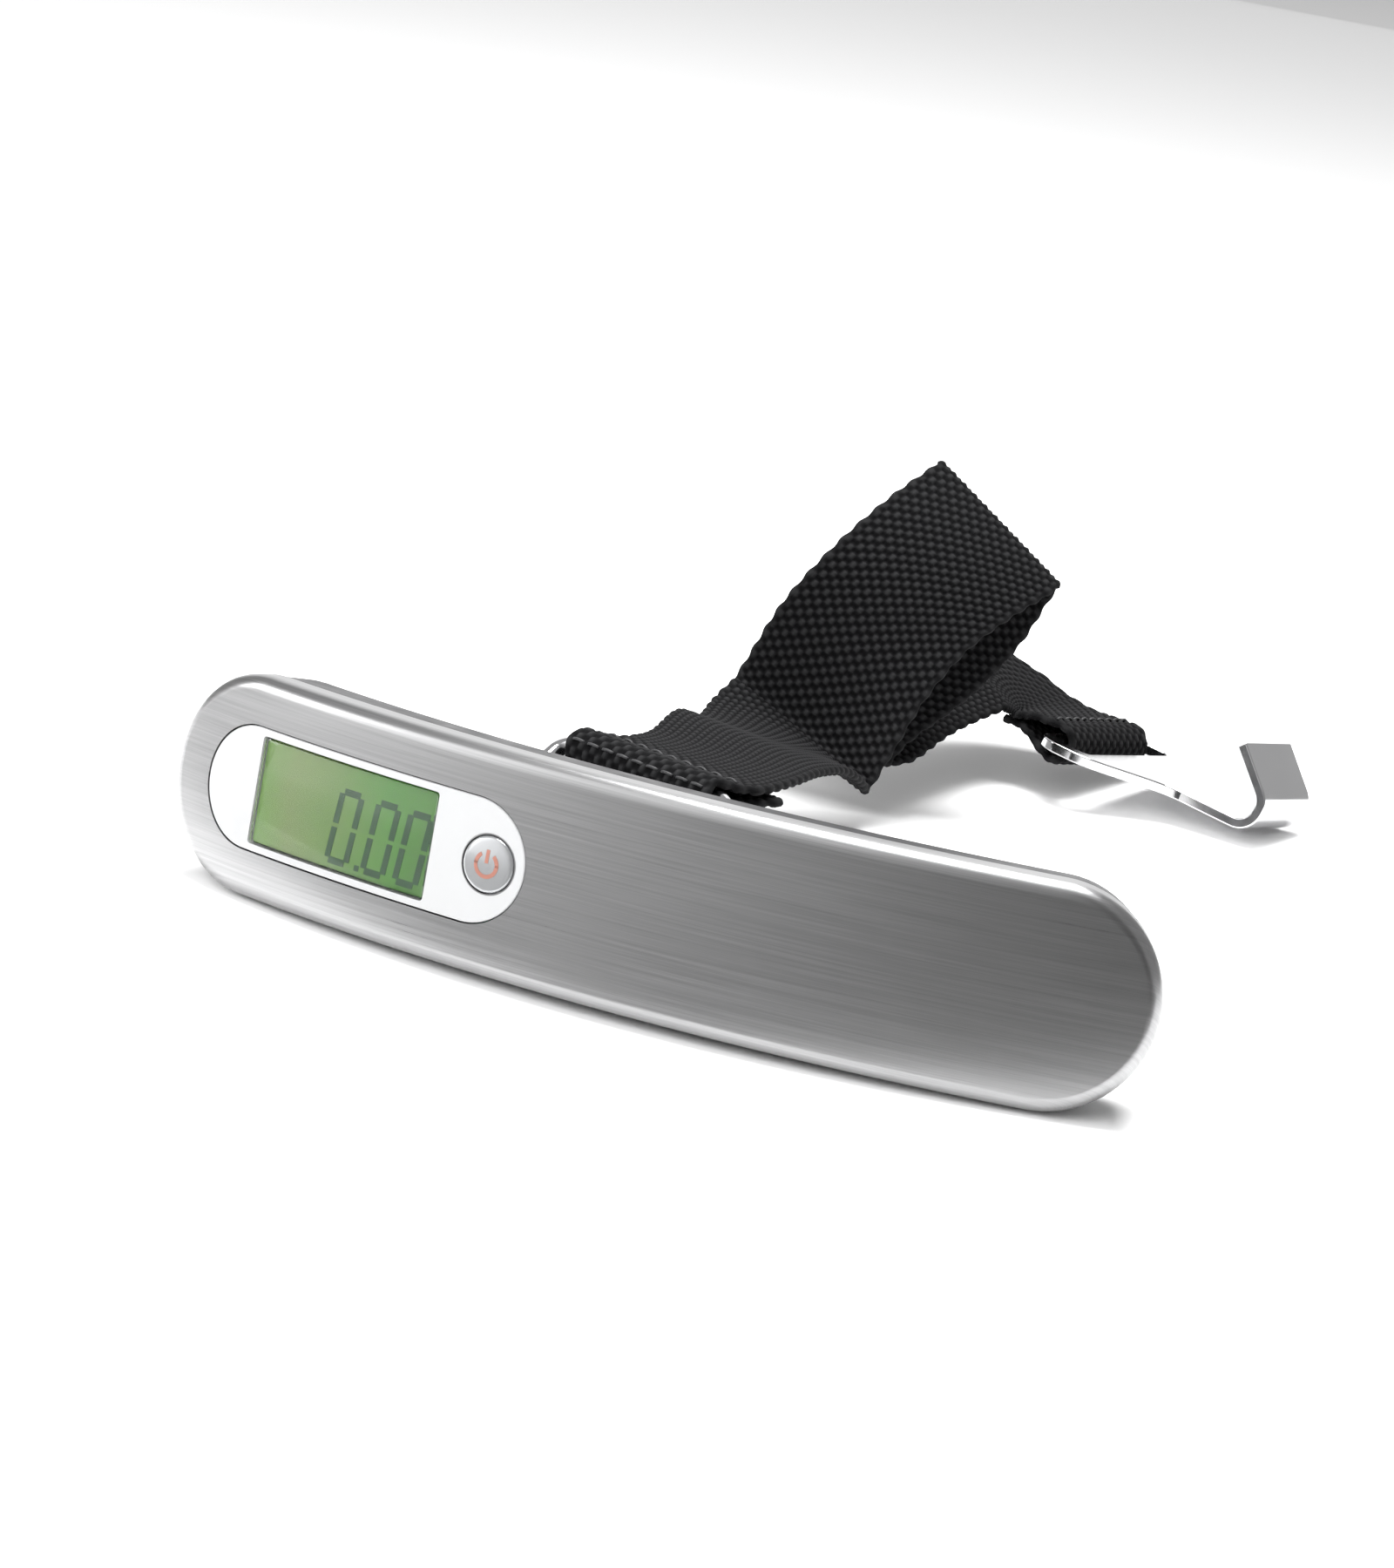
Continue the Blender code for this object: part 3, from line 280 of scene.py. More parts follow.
def add_piece(name, bm, mat, matrix, body, sharp=35.0, doubles=True):
    """A bmesh in millimetres becomes a piece in metres that rides on a body."""
    if doubles:
        bmesh.ops.remove_doubles(bm, verts=bm.verts, dist=1e-5)
    bmesh.ops.transform(bm, matrix=Matrix.Scale(MM, 4) @ matrix, verts=bm.verts)
    bmesh.ops.recalc_face_normals(bm, faces=bm.faces)
    mesh = bpy.data.meshes.new(name)
    bm.to_mesh(mesh)
    bm.free()
    mesh.materials.append(mat)
    mesh.shade_smooth()
    if sharp:
        mesh.set_sharp_from_angle(angle=radians(sharp))
    obj = bpy.data.objects.new(name, mesh)
    bpy.context.scene.collection.objects.link(obj)
    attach(obj, body)
    return obj


def weighted(obj):
    modifier = obj.modifiers.new("weighted_normal", "WEIGHTED_NORMAL")
    modifier.keep_sharp = True
    return obj


def softened(obj, width, segments):
    """A small bevel on every sharp edge, under weighted normals."""
    edge = obj.modifiers.new("edge", "BEVEL")
    edge.width = width
    edge.segments = segments
    edge.limit_method = "ANGLE"
    edge.angle_limit = radians(50)
    edge.harden_normals = True
    return weighted(obj)


def obround(length, width, steps=40):
    """A slot-shaped outline: two half circles joined by straight lines."""
    radius = width / 2
    half = length / 2 - radius
    points = []
    for centre, start in ((half, -pi / 2), (-half, pi / 2)):
        for i in range(steps + 1):
            a = start + pi * i / steps
            points.append((centre + radius * cos(a), radius * sin(a)))
    return points


def rounded(length, width, corner, steps=6):
    """A rectangular outline with round corners."""
    points = []
    for sx, sz, start in ((1, -1, -pi / 2), (1, 1, 0), (-1, 1, pi / 2), (-1, -1, pi)):
        centre_x, centre_z = sx * (length / 2 - corner), sz * (width / 2 - corner)
        for i in range(steps + 1):
            a = start + pi / 2 * i / steps
            points.append((centre_x + corner * cos(a), centre_z + corner * sin(a)))
    return points


def circle(radius, steps=64):
    return [(radius * cos(2 * pi * i / steps), radius * sin(2 * pi * i / steps)) for i in range(steps)]


def prism(points, y0, y1, front=0.0, back=0.0, segments=6):
    """An outline in x and z carried through the depth, with rounded front and back edges."""
    bm = bmesh.new()
    face = bm.faces.new([bm.verts.new((x, y0, z)) for x, z in points])
    moved = bmesh.ops.extrude_face_region(bm, geom=[face])["geom"]
    far = [v for v in moved if isinstance(v, bmesh.types.BMVert)]
    bmesh.ops.translate(bm, vec=(0, y1 - y0, 0), verts=far)
    bmesh.ops.recalc_face_normals(bm, faces=bm.faces)
    for depth, offset in ((y0, front), (y1, back)):
        if offset > 0:
            edges = [e for e in bm.edges if all(abs(v.co.y - depth) < 1e-4 for v in e.verts)]
            bmesh.ops.bevel(bm, geom=edges, offset=offset, offset_type="OFFSET", segments=segments,
                            profile=0.5, affect="EDGES", clamp_overlap=True)
    return bm


def shift(bm, x=0.0, y=0.0, z=0.0):
    bmesh.ops.translate(bm, vec=(x, y, z), verts=bm.verts)
    return bm


def temporary_object(bm):
    mesh = bpy.data.meshes.new("temporary")
    bm.to_mesh(mesh)
    bm.free()
    obj = bpy.data.objects.new("temporary", mesh)
    bpy.context.scene.collection.objects.link(obj)
    return obj


def combine(bm, others, operation="DIFFERENCE"):
    """Boolean of bmeshes."""
    target = temporary_object(bm)
    for other in others:
        cutter = temporary_object(other)
        modifier = target.modifiers.new("boolean", "BOOLEAN")
        modifier.operation = operation
        modifier.solver = "EXACT"
        modifier.object = cutter
        bpy.context.view_layer.update()
        result = target.evaluated_get(bpy.context.evaluated_depsgraph_get())
        mesh = bpy.data.meshes.new_from_object(result)
        target.modifiers.clear()
        target.data = mesh
        bpy.data.objects.remove(cutter)
    out = bmesh.new()
    out.from_mesh(target.data)
    bpy.data.objects.remove(target)
    return out


def bend(bm, slice_length=2.0):
    """Slice the straight solid, keep its straight place as a UV map, and roll it onto the arch."""
    xs = [v.co.x for v in bm.verts]
    low, high = min(xs), max(xs)
    count = int((high - low) / slice_length)
    for i in range(1, count + 1):
        x = low + (high - low) * i / (count + 1)
        bmesh.ops.bisect_plane(bm, geom=bm.verts[:] + bm.edges[:] + bm.faces[:], plane_co=(x, 0, 0),
                               plane_no=(1, 0, 0), dist=1e-5)
    uv = bm.loops.layers.uv.verify()
    for face in bm.faces:
        for loop in face.loops:
            loop[uv].uv = (loop.vert.co.x * MM, (loop.vert.co.z + loop.vert.co.y) * MM)
    for v in bm.verts:
        v.co = arch_point(*v.co)
    return bm


def turned(profile, steps=64):
    """A closed shape turned about the y axis from (radius, y) points."""
    bm = bmesh.new()
    rings = []
    for radius, y in profile:
        if radius <= 1e-6:
            rings.append([bm.verts.new((0, y, 0))])
        else:
            rings.append([bm.verts.new((x, y, z)) for x, z in circle(radius, steps)])
    for a, b in zip(rings, rings[1:]):
        for i in range(steps):
            j = (i + 1) % steps
            corners = [a[i % len(a)], a[j % len(a)], b[j % len(b)], b[i % len(b)]]
            unique = list(dict.fromkeys(corners))
            if len(unique) > 2:
                bm.faces.new(unique)
    return bm


def wire_loop(points, radius, sides=24):
    """A closed round wire through points, by parallel frames."""
    bm = bmesh.new()
    count = len(points)
    rings = []
    normal = None
    for i, p in enumerate(points):
        tangent = (points[(i + 1) % count] - points[i - 1]).normalized()
        if normal is None:
            normal = tangent.orthogonal().normalized()
        normal = (normal - tangent * normal.dot(tangent)).normalized()
        side = tangent.cross(normal)
        rings.append([bm.verts.new(p + normal * u + side * v) for u, v in circle(radius, sides)])
    first, last = rings[0], rings[-1]
    offset = min(range(sides), key=lambda k: (last[0].co - first[k].co).length)
    for i in range(count):
        a, b = rings[i], rings[(i + 1) % count]
        extra = offset if i == count - 1 else 0
        for j in range(sides):
            bm.faces.new((a[j], a[(j + 1) % sides], b[(j + 1 + extra) % sides], b[(j + extra) % sides]))
    return bm


# ---------------------------------------------------------------- the bar

def front_cover():
    """Brushed steel face with a rolled rim and an opening for the panel."""
    outer = prism(obround(LENGTH, WIDTH), 0.0, COVER_DEPTH, front=COVER_RIM, segments=10)
    inner = prism(obround(LENGTH - 2 * COVER_SKIN, WIDTH - 2 * COVER_SKIN), COVER_SKIN, COVER_DEPTH + 3.0,
                  front=COVER_RIM - COVER_SKIN)
    opening = prism(obround(PANEL_LENGTH + 2 * PANEL_GAP, PANEL_WIDTH + 2 * PANEL_GAP), -1.0, 2.0)
    cover = bend(combine(outer, [inner, shift(opening, PANEL_ARC)]))
    obj = softened(add_piece("steel_cover", cover, STEEL, BODY, "scale_body"), 0.00012, 2)
    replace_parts(obj, "front_cover")


def drafted(bm):
    """Draw the straight casing in towards its back."""
    half = LENGTH / 2 - WIDTH / 2
    for v in bm.verts:
        inset = max(0.0, v.co.y - CASING_START) * tan(CASING_DRAFT)
        scale = 1 - inset / (WIDTH / 2)
        v.co.z *= scale
        if abs(v.co.x) > half:
            side = 1 if v.co.x > 0 else -1
            v.co.x = side * (half + (abs(v.co.x) - half) * scale)
    return bm


def casing_cutters():
    """Openings in the back for the eye, the battery cap and the cell, and two steps for each screw."""
    eye_hole, cap_seat, cell_hole, head_seat, screw_hole = 5.9, 11.2, 8.8, 2.6, 1.3
    places = [(0.0, EYE_X, 0.0, eye_hole, 8.0), (BATTERY_ARC, 0.0, 0.0, cap_seat, DEPTH - 1.6),
              (BATTERY_ARC, 0.0, 0.0, cell_hole, 8.0)]
    places += [(arc, 0.0, across, head_seat, DEPTH - 0.9) for arc, across in SCREW_PLACES]
    places += [(arc, 0.0, across, screw_hole, 6.0) for arc, across in SCREW_PLACES]
    cutters = []
    for arc, along, across, radius, start in places:
        cutter = shift(prism(circle(radius, 48), start, DEPTH + 6.0), along, 0, across)
        bmesh.ops.transform(cutter, matrix=arch_matrix(arc), verts=cutter.verts)
        cutters.append(cutter)
    return cutters


def rear_casing():
    """Black moulded back: a drafted shell with a lip that enters the steel face."""
    shell = drafted(prism(obround(LENGTH - 0.4, WIDTH - 0.4, 32), CASING_START, DEPTH,
                          front=0.15, back=3.5, segments=8))
    lip = prism(obround(LENGTH - 2.0, WIDTH - 2.0, 32), 2.6, CASING_START + 1.0)
    inside = obround(LENGTH - 0.4 - 2 * CASING_WALL, WIDTH - 0.4 - 2 * CASING_WALL, 32)
    hollow = drafted(prism(inside, 1.0, DEPTH - 1.5, back=2.0, segments=4))
    casing = bend(combine(combine(shell, [lip], "UNION"), [hollow]), 3.0)
    obj = add_piece("casing_shell", combine(casing, casing_cutters()), BLACK, BODY, "scale_body")
    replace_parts(softened(obj, 0.00015, 2), "rear_casing")


def panel():
    """White panel with openings for the window and the button."""
    outline = prism(obround(PANEL_LENGTH, PANEL_WIDTH), 0.0, PANEL_DEPTH, front=0.25, segments=3)
    window = shift(prism(rounded(29.1, 14.0, 0.5), -1.0, 3.0), WINDOW_ARC - PANEL_ARC)
    hole = shift(prism(circle(BUTTON_RADIUS + 0.3), -1.0, 3.0), BUTTON_ARC - PANEL_ARC)
    body = bend(shift(combine(outline, [window, hole]), PANEL_ARC))
    obj = weighted(add_piece("display_panel", body, WHITE, BODY, "scale_body"))
    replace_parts(obj, "bezel_panel")


# ---------------------------------------------------------------- display

DIGIT_PLACES, DIGIT_LEVEL = (0.6, 6.5, 11.6), -1.15
DIGIT_WIDTH, DIGIT_HEIGHT, DIGIT_SLANT = 3.1, 8.9, 0.10
STROKE_WIDTH, STROKE_GAP = 0.9, 0.26
STROKE_FRONT, STROKE_BACK = 0.70, 0.74
POINT_OUTLINE = [(3.1, -6.0), (3.85, -6.0), (3.9, -5.25), (3.15, -5.25)]
GLASS_TURN = arch_matrix(WINDOW_ARC) @ arch_matrix(0).inverted()


def zero_strokes(x):
    """Corner points of the six lit bars of a seven-segment zero, leaning to the right."""
    left, right = x - DIGIT_WIDTH / 2, x + DIGIT_WIDTH / 2
    low, high = DIGIT_LEVEL - DIGIT_HEIGHT / 2, DIGIT_LEVEL + DIGIT_HEIGHT / 2
    half = STROKE_WIDTH / 2
    bars = [(left + STROKE_GAP, z - half, right - STROKE_GAP, z + half) for z in (high, low)]
    bars += [(side - half, start + STROKE_GAP, side + half, end - STROKE_GAP)
             for side in (left, right) for start, end in ((low, DIGIT_LEVEL), (DIGIT_LEVEL, high))]
    for x0, z0, x1, z1 in bars:
        corners = ((x0, z0), (x1, z0), (x1, z1), (x0, z1))
        yield [(px + (pz - DIGIT_LEVEL) * DIGIT_SLANT, pz) for px, pz in corners]


def display_glass():
    """Glass whose UV map runs from 0 to 1 both ways, for the display's gradient of painted reflection."""
    glass = bend(prism(rounded(GLASS_LENGTH, GLASS_WIDTH, 0.4), 0.75, 1.25))
    uv = glass.loops.layers.uv.verify()
    for face in glass.faces:
        for loop in face.loops:
            u, v = loop[uv].uv
            loop[uv].uv = (u / MM / GLASS_LENGTH + 0.5, v / MM / GLASS_WIDTH + 0.5)
    obj = add_piece("display_glass", glass, DISPLAY, BODY @ GLASS_TURN, "scale_body")
    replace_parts(obj, "lcd_glass")


def display_digits():
    """Three zeros and a point, as thin bars just in front of the glass."""
    bars = bmesh.new()
    outlines = [stroke for x in DIGIT_PLACES for stroke in zero_strokes(x)] + [POINT_OUTLINE]
    for outline in outlines:
        front = [bars.verts.new(arch_point(px, STROKE_FRONT, pz)) for px, pz in outline]
        back = [bars.verts.new(arch_point(px, STROKE_BACK, pz)) for px, pz in outline]
        bars.faces.new(front)
        bars.faces.new(back[::-1])
        for i in range(4):
            bars.faces.new((front[i], back[i], back[(i + 1) % 4], front[(i + 1) % 4]))
    add_piece("display_digits", bars, SEGMENT, BODY @ GLASS_TURN, "scale_body",
              doubles=False)


def display_window():
    """Clear window over the glass."""
    window = prism(rounded(GLASS_LENGTH + 0.1, GLASS_WIDTH + 0.1, 0.4), 0.05, 0.45, front=0.1, segments=2)
    obj = add_piece("display_window", bend(shift(window, WINDOW_ARC)), window_material(), BODY,
                    "scale_body")
    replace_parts(obj, "lcd_window")


# ---------------------------------------------------------------- power button

def dome_depth(radius):
    return -BUTTON_PROUD + DOME_HEIGHT * (radius / BUTTON_RADIUS) ** 2


def button_dome():
    """Domed cap on a shank with a flange that holds it in."""
    dome = [(0.0, dome_depth(0.0))]
    dome += [(BUTTON_RADIUS * i / 9, dome_depth(BUTTON_RADIUS * i / 9)) for i in range(1, 9)]
    dome += [(3.45, -0.18), (3.58, 0.05), (BUTTON_RADIUS, 0.4), (BUTTON_RADIUS, 1.0)]
    shank = [(3.3, 1.1), (3.3, 1.65), (4.5, 1.65), (4.5, 2.2), (0.0, 2.2)]
    cap = add_piece("button_dome", turned(dome + shank), BUTTON, BODY @ arch_matrix(BUTTON_ARC),
                    "power_button")
    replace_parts(cap, "power_button")


def add_raised_bar(bm, outline):
    """A bar that follows the dome and stands a little proud of it."""
    low = [bm.verts.new((x, dome_depth(hypot(x, z)) + 0.05, z)) for x, z in outline]
    high = [bm.verts.new((v.co.x, v.co.y - 0.10, v.co.z)) for v in low]
    bm.faces.new(low[::-1])
    bm.faces.new(high)
    for i in range(len(outline)):
        j = (i + 1) % len(outline)
        bm.faces.new((low[i], low[j], high[j], high[i]))


def button_sign():
    """A generic power sign: a ring open at the top and a bar in the opening."""
    sign = bmesh.new()
    inner, outer, steps = 1.25, 1.75, 22
    start, sweep = radians(125), radians(290)
    for i in range(steps):
        a, b = start + sweep * i / steps, start + sweep * (i + 1) / steps
        add_raised_bar(sign, [(inner * cos(a), inner * sin(a)), (inner * cos(b), inner * sin(b)),
                              (outer * cos(b), outer * sin(b)), (outer * cos(a), outer * sin(a))])
    add_raised_bar(sign, [(-0.24, 0.2), (0.24, 0.2), (0.24, 1.9), (-0.24, 1.9)])
    add_piece("button_sign", sign, ICON, BODY @ arch_matrix(BUTTON_ARC), "power_button")


def button_ring():
    """Thin steel sleeve in the panel's round hole."""
    inner, outer, front, back = 3.75, 3.88, 0.02, 1.25
    ring = turned([(inner, front), (outer, front), (outer, back), (inner, back), (inner, front)])
    steel = polished_steel("ring_steel", (0.7, 0.7, 0.71), 0.12)
    add_piece("button_ring", ring, steel, BODY @ arch_matrix(BUTTON_ARC), "scale_body")


# ---------------------------------------------------------------- ring and hook

RING_WIRE, RING_HALF, RING_LENGTH, RING_CORNER = 1.25, 14.5, 16.0, 2.2
RING_YAW, RING_RISE, RING_SHIFT = radians(-18.0), radians(31.0), 10.8
EYE_POINT = Matrix.Rotation(-LEAN, 3, "X") @ Vector((EYE_X, EYE_DEPTH, 0.0))
RING_ACROSS = Vector((cos(RING_YAW), sin(RING_YAW), 0.0))
RING_OUT = Vector((-sin(RING_YAW) * cos(RING_RISE), cos(RING_YAW) * cos(RING_RISE), sin(RING_RISE)))
RING_FRONT = EYE_POINT - RING_ACROSS * RING_SHIFT
RING_REAR = RING_FRONT + RING_OUT * RING_LENGTH

HOOK_SHEET, HOOK_LIP_HALF, HOOK_BAR_HALF, HOOK_SLOT_HALF = 1.5, 7.7, 16.5, 13.6
HOOK_BEND, HOOK_TURN, HOOK_LIP, HOOK_SHANK = 3.35, radians(135.0), 7.5, 30.5
HOOK_BAR, HOOK_SLOT, HOOK_CORNER = 3.0, 4.8, 4.0
HOOK_NECK, HOOK_FLARE = 9.0, 15.0
HOOK_X = Vector((0.97, -0.18, -0.15)).normalized()
HOOK_Z = HOOK_X.cross(Vector((0.157, 0.973, -0.149))).normalized()
HOOK_Y = HOOK_Z.cross(HOOK_X).normalized()
HOOK = Matrix((HOOK_X, HOOK_Y, HOOK_Z)).transposed().to_4x4()
HOOK.translation = Vector((33.65, 157.9, -14.08))
BAR_X = -HOOK_SHANK + HOOK_BAR / 2


def load_ring():
    """Rectangular wire ring with round corners, through the eye."""
    points = []
    corner_steps = 12
    for side, end, start in ((1, 0, -pi / 2), (1, 1, 0), (-1, 1, pi / 2), (-1, 0, pi)):
        for i in range(corner_steps + 1):
            a = start + pi / 2 * i / corner_steps
            across = side * (RING_HALF - RING_CORNER) + RING_CORNER * cos(a)
            out = end * RING_LENGTH + (1 - 2 * end) * RING_CORNER + RING_CORNER * sin(a)
            points.append(RING_FRONT + RING_ACROSS * across + RING_OUT * out)
    wire = wire_loop(points, RING_WIRE)
    ring = add_piece("wire_ring", wire, POLISHED, BENCH, "load_ring", 0)
    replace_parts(ring, "load_ring")


def hook_section():
    """The sheet seen from its side: a flat shank, a bend and a turned-up lip, as a closed outline."""
    steps = 28
    centre = HOOK_BEND + HOOK_SHEET / 2
    middle = [(-HOOK_SHANK, HOOK_SHEET / 2), (0.0, HOOK_SHEET / 2)]
    for i in range(1, steps + 1):
        a = HOOK_TURN * i / steps
        middle.append((HOOK_BEND * sin(a), centre - HOOK_BEND * cos(a)))
    end_x, end_z = middle[-1]
    middle.append((end_x + HOOK_LIP * cos(HOOK_TURN), end_z + HOOK_LIP * sin(HOOK_TURN)))
    inner, outer = [], []
    for i, (x, z) in enumerate(middle):
        a = min(max(i - 1, 0), steps) * HOOK_TURN / steps
        inner.append((x - sin(a) * HOOK_SHEET / 2, z + cos(a) * HOOK_SHEET / 2))
        outer.append((x + sin(a) * HOOK_SHEET / 2, z - cos(a) * HOOK_SHEET / 2))
    return outer + inner[::-1]


def hook_half_width(x):
    """Narrow at the lip, and flared smoothly to the strap's bar."""
    t = min(max((-x - HOOK_NECK) / HOOK_FLARE, 0.0), 1.0)
    return HOOK_LIP_HALF + (HOOK_BAR_HALF - HOOK_LIP_HALF) * t * t * (3 - 2 * t)


def hook_outline():
    """The flat blank seen from above."""
    places = [-HOOK_NECK - i * 0.5 for i in range(31)]
    half = [(12.0, -HOOK_LIP_HALF)] + [(x, -hook_half_width(x)) for x in places]
    for i in range(13):
        a = pi / 2 * i / 12
        half.append((-HOOK_SHANK + HOOK_CORNER - HOOK_CORNER * sin(a),
                     -HOOK_BAR_HALF + HOOK_CORNER - HOOK_CORNER * cos(a)))
    return half + [(x, -y) for x, y in reversed(half)]


def upright(points, low, high):
    """An outline in x and y carried upwards."""
    bm = prism(points, -high, -low)
    bmesh.ops.rotate(bm, cent=(0, 0, 0), matrix=Matrix.Rotation(-pi / 2, 3, "X"), verts=bm.verts)
    return bm


def hook():
    """Bent sheet cut to its outline, with a slot for the strap."""
    sheet = prism(hook_section(), -20.0, 20.0)
    blank = upright([(x, -y) for x, y in hook_outline()], -6.0, 26.0)
    slot_x = BAR_X + HOOK_BAR / 2 + HOOK_SLOT / 2
    slot = upright([(x + slot_x, y) for x, y in rounded(HOOK_SLOT, 2 * HOOK_SLOT_HALF, 1.2)], -4.0, 4.0)
    body = combine(combine(sheet, [blank], "INTERSECT"), [slot])
    plate = add_piece("stamped_hook", body, POLISHED, BENCH @ HOOK, "hook", 30)
    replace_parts(softened(plate, 0.00022, 3), "hook_plate")


def load_eye():
    """Eye bolt: a round eye on a flanged stem."""
    eye_radius, eye_wire, stem_radius = 3.8, 1.2, 1.55
    centre = Vector((EYE_X, EYE_DEPTH, 0))
    eye = wire_loop([centre + Vector((0, u, v)) for u, v in circle(eye_radius, 56)], eye_wire, 20)
    neck = [(0, 3.7), (eye_wire, 3.7), (stem_radius, 4.1), (stem_radius, 11.4)]
    flange = [(3.0, 11.4), (3.0, 12.2), (2.8, 12.5), (stem_radius, 12.5)]
    stem = turned(neck + flange + [(stem_radius, 13.9), (1.3, 14.2), (0, 14.3)], 40)
    joined = combine(eye, [shift(stem, EYE_X)], "UNION")
    obj = add_piece("eye_bolt", joined, POLISHED, BODY, "scale_body", 40)
    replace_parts(obj, "load_eye")


# ---------------------------------------------------------------- the strap's route

WEB_WIDTH, WEB_THICK, WEB_GAP = 25.0, 1.3, 0.35
RING_TAIL, HOOK_TAIL = 13.0, 9.0
FOLD_HEIGHT = 36.0
LOW_CREASE = Vector((-19.7, 108.0, -4.0))
CREASE_ACROSS = Vector((0.86, 0.17, -0.48))
TOP_ACROSS = Vector((0.80, 0.12, -0.585))
RUN_STATIONS = (
    ((-9.6, 55.0, 5.2), (0.96, -0.24, 0.00)),
    ((-12.6, 71.0, 3.6), (0.96, -0.18, -0.08)),
    ((-15.8, 88.0, -0.6), (0.95, -0.12, -0.06)),
    ((-18.4, 100.5, -3.0), (0.91, 0.06, -0.27)),
)
FOLD_PROFILE = (
    (-1.35, 0.33, 0.0, 0.0), (-0.03, 0.27, 0.0, 0.0), (1.09, 0.99, 0.0, 0.0), (1.6, 2.3, -0.1, 0.0),
    (2.0, 5.0, -0.3, 0.05), (3.6, 14.0, -1.3, 0.24), (8.0, 22.6, -1.5, 0.32), (14.6, 29.6, -0.9, 0.20),
    (20.6, 34.0, -0.2, 0.05), (23.2, 35.5, 0.0, 0.0), (24.8, 35.7, 0.0, 0.0), (26.2, 34.9, 0.1, 0.0),
    (26.9, 33.4, 0.4, 0.0), (26.7, 31.4, 1.0, -0.04), (25.4, 25.4, 2.6, -0.10), (22.8, 18.4, 3.0, -0.10),
    (19.2, 11.8, 2.0, -0.05), (16.2, 7.6, 0.8, 0.0), (14.2, 5.3, 0.2, 0.0), (12.5, 4.6, 0.0, 0.0),
    (11.7, 3.0, 0.0, 0.0), (12.4, 1.4, 0.0, 0.0), (14.0, 0.9, 0.0, 0.0),
)
APPROACH_STATIONS = (
    ((-9.2, 127.5, -8.7), (0.86, 0.06, -0.50)),
    ((-8.0, 135.9, -6.6), (0.88, -0.08, -0.47)),
    ((-6.6, 142.5, -5.2), (0.88, -0.20, -0.43)),
)
TURN_PIVOT = Vector((-3.4, 150.4, -4.6))
TURN_ACROSS = Vector((0.86, -0.34, -0.38))
TURN_INSIDE = 1.4

StrapLine = namedtuple("StrapLine", "places middle across along normal length")


def fold_station(forward, up, sideways, lean):
    """A station of the tall fold, from its place seen from the side and its slip and lean across."""
    across = CREASE_ACROSS.lerp(TOP_ACROSS, up / FOLD_HEIGHT).normalized()
    level = Vector((-across.y, across.x, 0.0)).normalized()
    slip = sideways - 2.6 * up / FOLD_HEIGHT
    place = LOW_CREASE + level * forward + across.cross(level) * up + across * slip
    return place, (across + level * lean).normalized()


def turned_end(centre, across, run, up, reach, tail, straight, droop=0.0):
    """Stations of a sewn loop: back along the tail, round the bar and out along the run."""
    half = (WEB_THICK + WEB_GAP) / 2
    points = [(tail, -half - droop), (tail * 0.8, -half - droop * 0.6), (reach + 2.8, -half - 0.3)]
    for i in range(9):
        angle = radians(-62.0 - (298.0 - 62.0) * i / 8)
        points.append((reach * cos(angle), reach * sin(angle)))
    points += [(reach + 2.8, half + 0.3), (straight + 0.2, half + 0.1)]
    return [(centre + run * x + up * z, across) for x, z in points]


def ring_end():
    run = Vector((-RING_ACROSS.y, RING_ACROSS.x, -0.08)).normalized()
    reach = RING_WIRE + WEB_GAP + WEB_THICK / 2
    return turned_end(RING_REAR, RING_ACROSS, run, RING_ACROSS.cross(run), reach, RING_TAIL, 9.0)


def hook_end():
    bar = HOOK @ Vector((BAR_X, 0.0, HOOK_SHEET / 2))
    run = (HOOK.to_3x3() @ Vector((-0.98, 0.0, 0.18))).normalized()
    reach = sqrt(HOOK_BAR ** 2 + HOOK_SHEET ** 2) / 2 + WEB_GAP + WEB_THICK / 2
    stations = turned_end(bar, -HOOK_Y, run, run.cross(-HOOK_Y), reach, HOOK_TAIL, 5.5, droop=0.9)
    return stations[::-1]


def strap_stations():
    """Middle and direction across, from the ring's loop over the fold and the turn to the hook's loop."""
    stations = ring_end()
    stations += [(Vector(middle), Vector(across).normalized()) for middle, across in RUN_STATIONS]
    stations += [fold_station(*place) for place in FOLD_PROFILE]
    for near_edge, across in APPROACH_STATIONS:
        across = Vector(across).normalized()
        stations.append((Vector(near_edge) - across * (WEB_WIDTH / 2), across))
    for i in range(6):
        across = TURN_ACROSS.normalized().slerp(-HOOK_Y, i / 5.6)
        stations.append((TURN_PIVOT - across * (WEB_WIDTH / 2 + TURN_INSIDE), across))
    return stations + hook_end()


def catmull_rom(points, steps):
    """A smooth curve through the points."""
    padded = [points[0] * 2 - points[1]] + list(points) + [points[-1] * 2 - points[-2]]
    curve = []
    for a, b, c, d in zip(padded, padded[1:], padded[2:], padded[3:]):
        for i in range(steps):
            t = i / steps
            curve.append(0.5 * ((2 * b) + (c - a) * t + (2 * a - 5 * b + 4 * c - d) * t ** 2
                                + (3 * b - a - 3 * c + d) * t ** 3))
    curve.append(points[-1].copy())
    return np.array([tuple(p) for p in curve])


def unit(vectors):
    return vectors / np.linalg.norm(vectors, axis=1, keepdims=True)


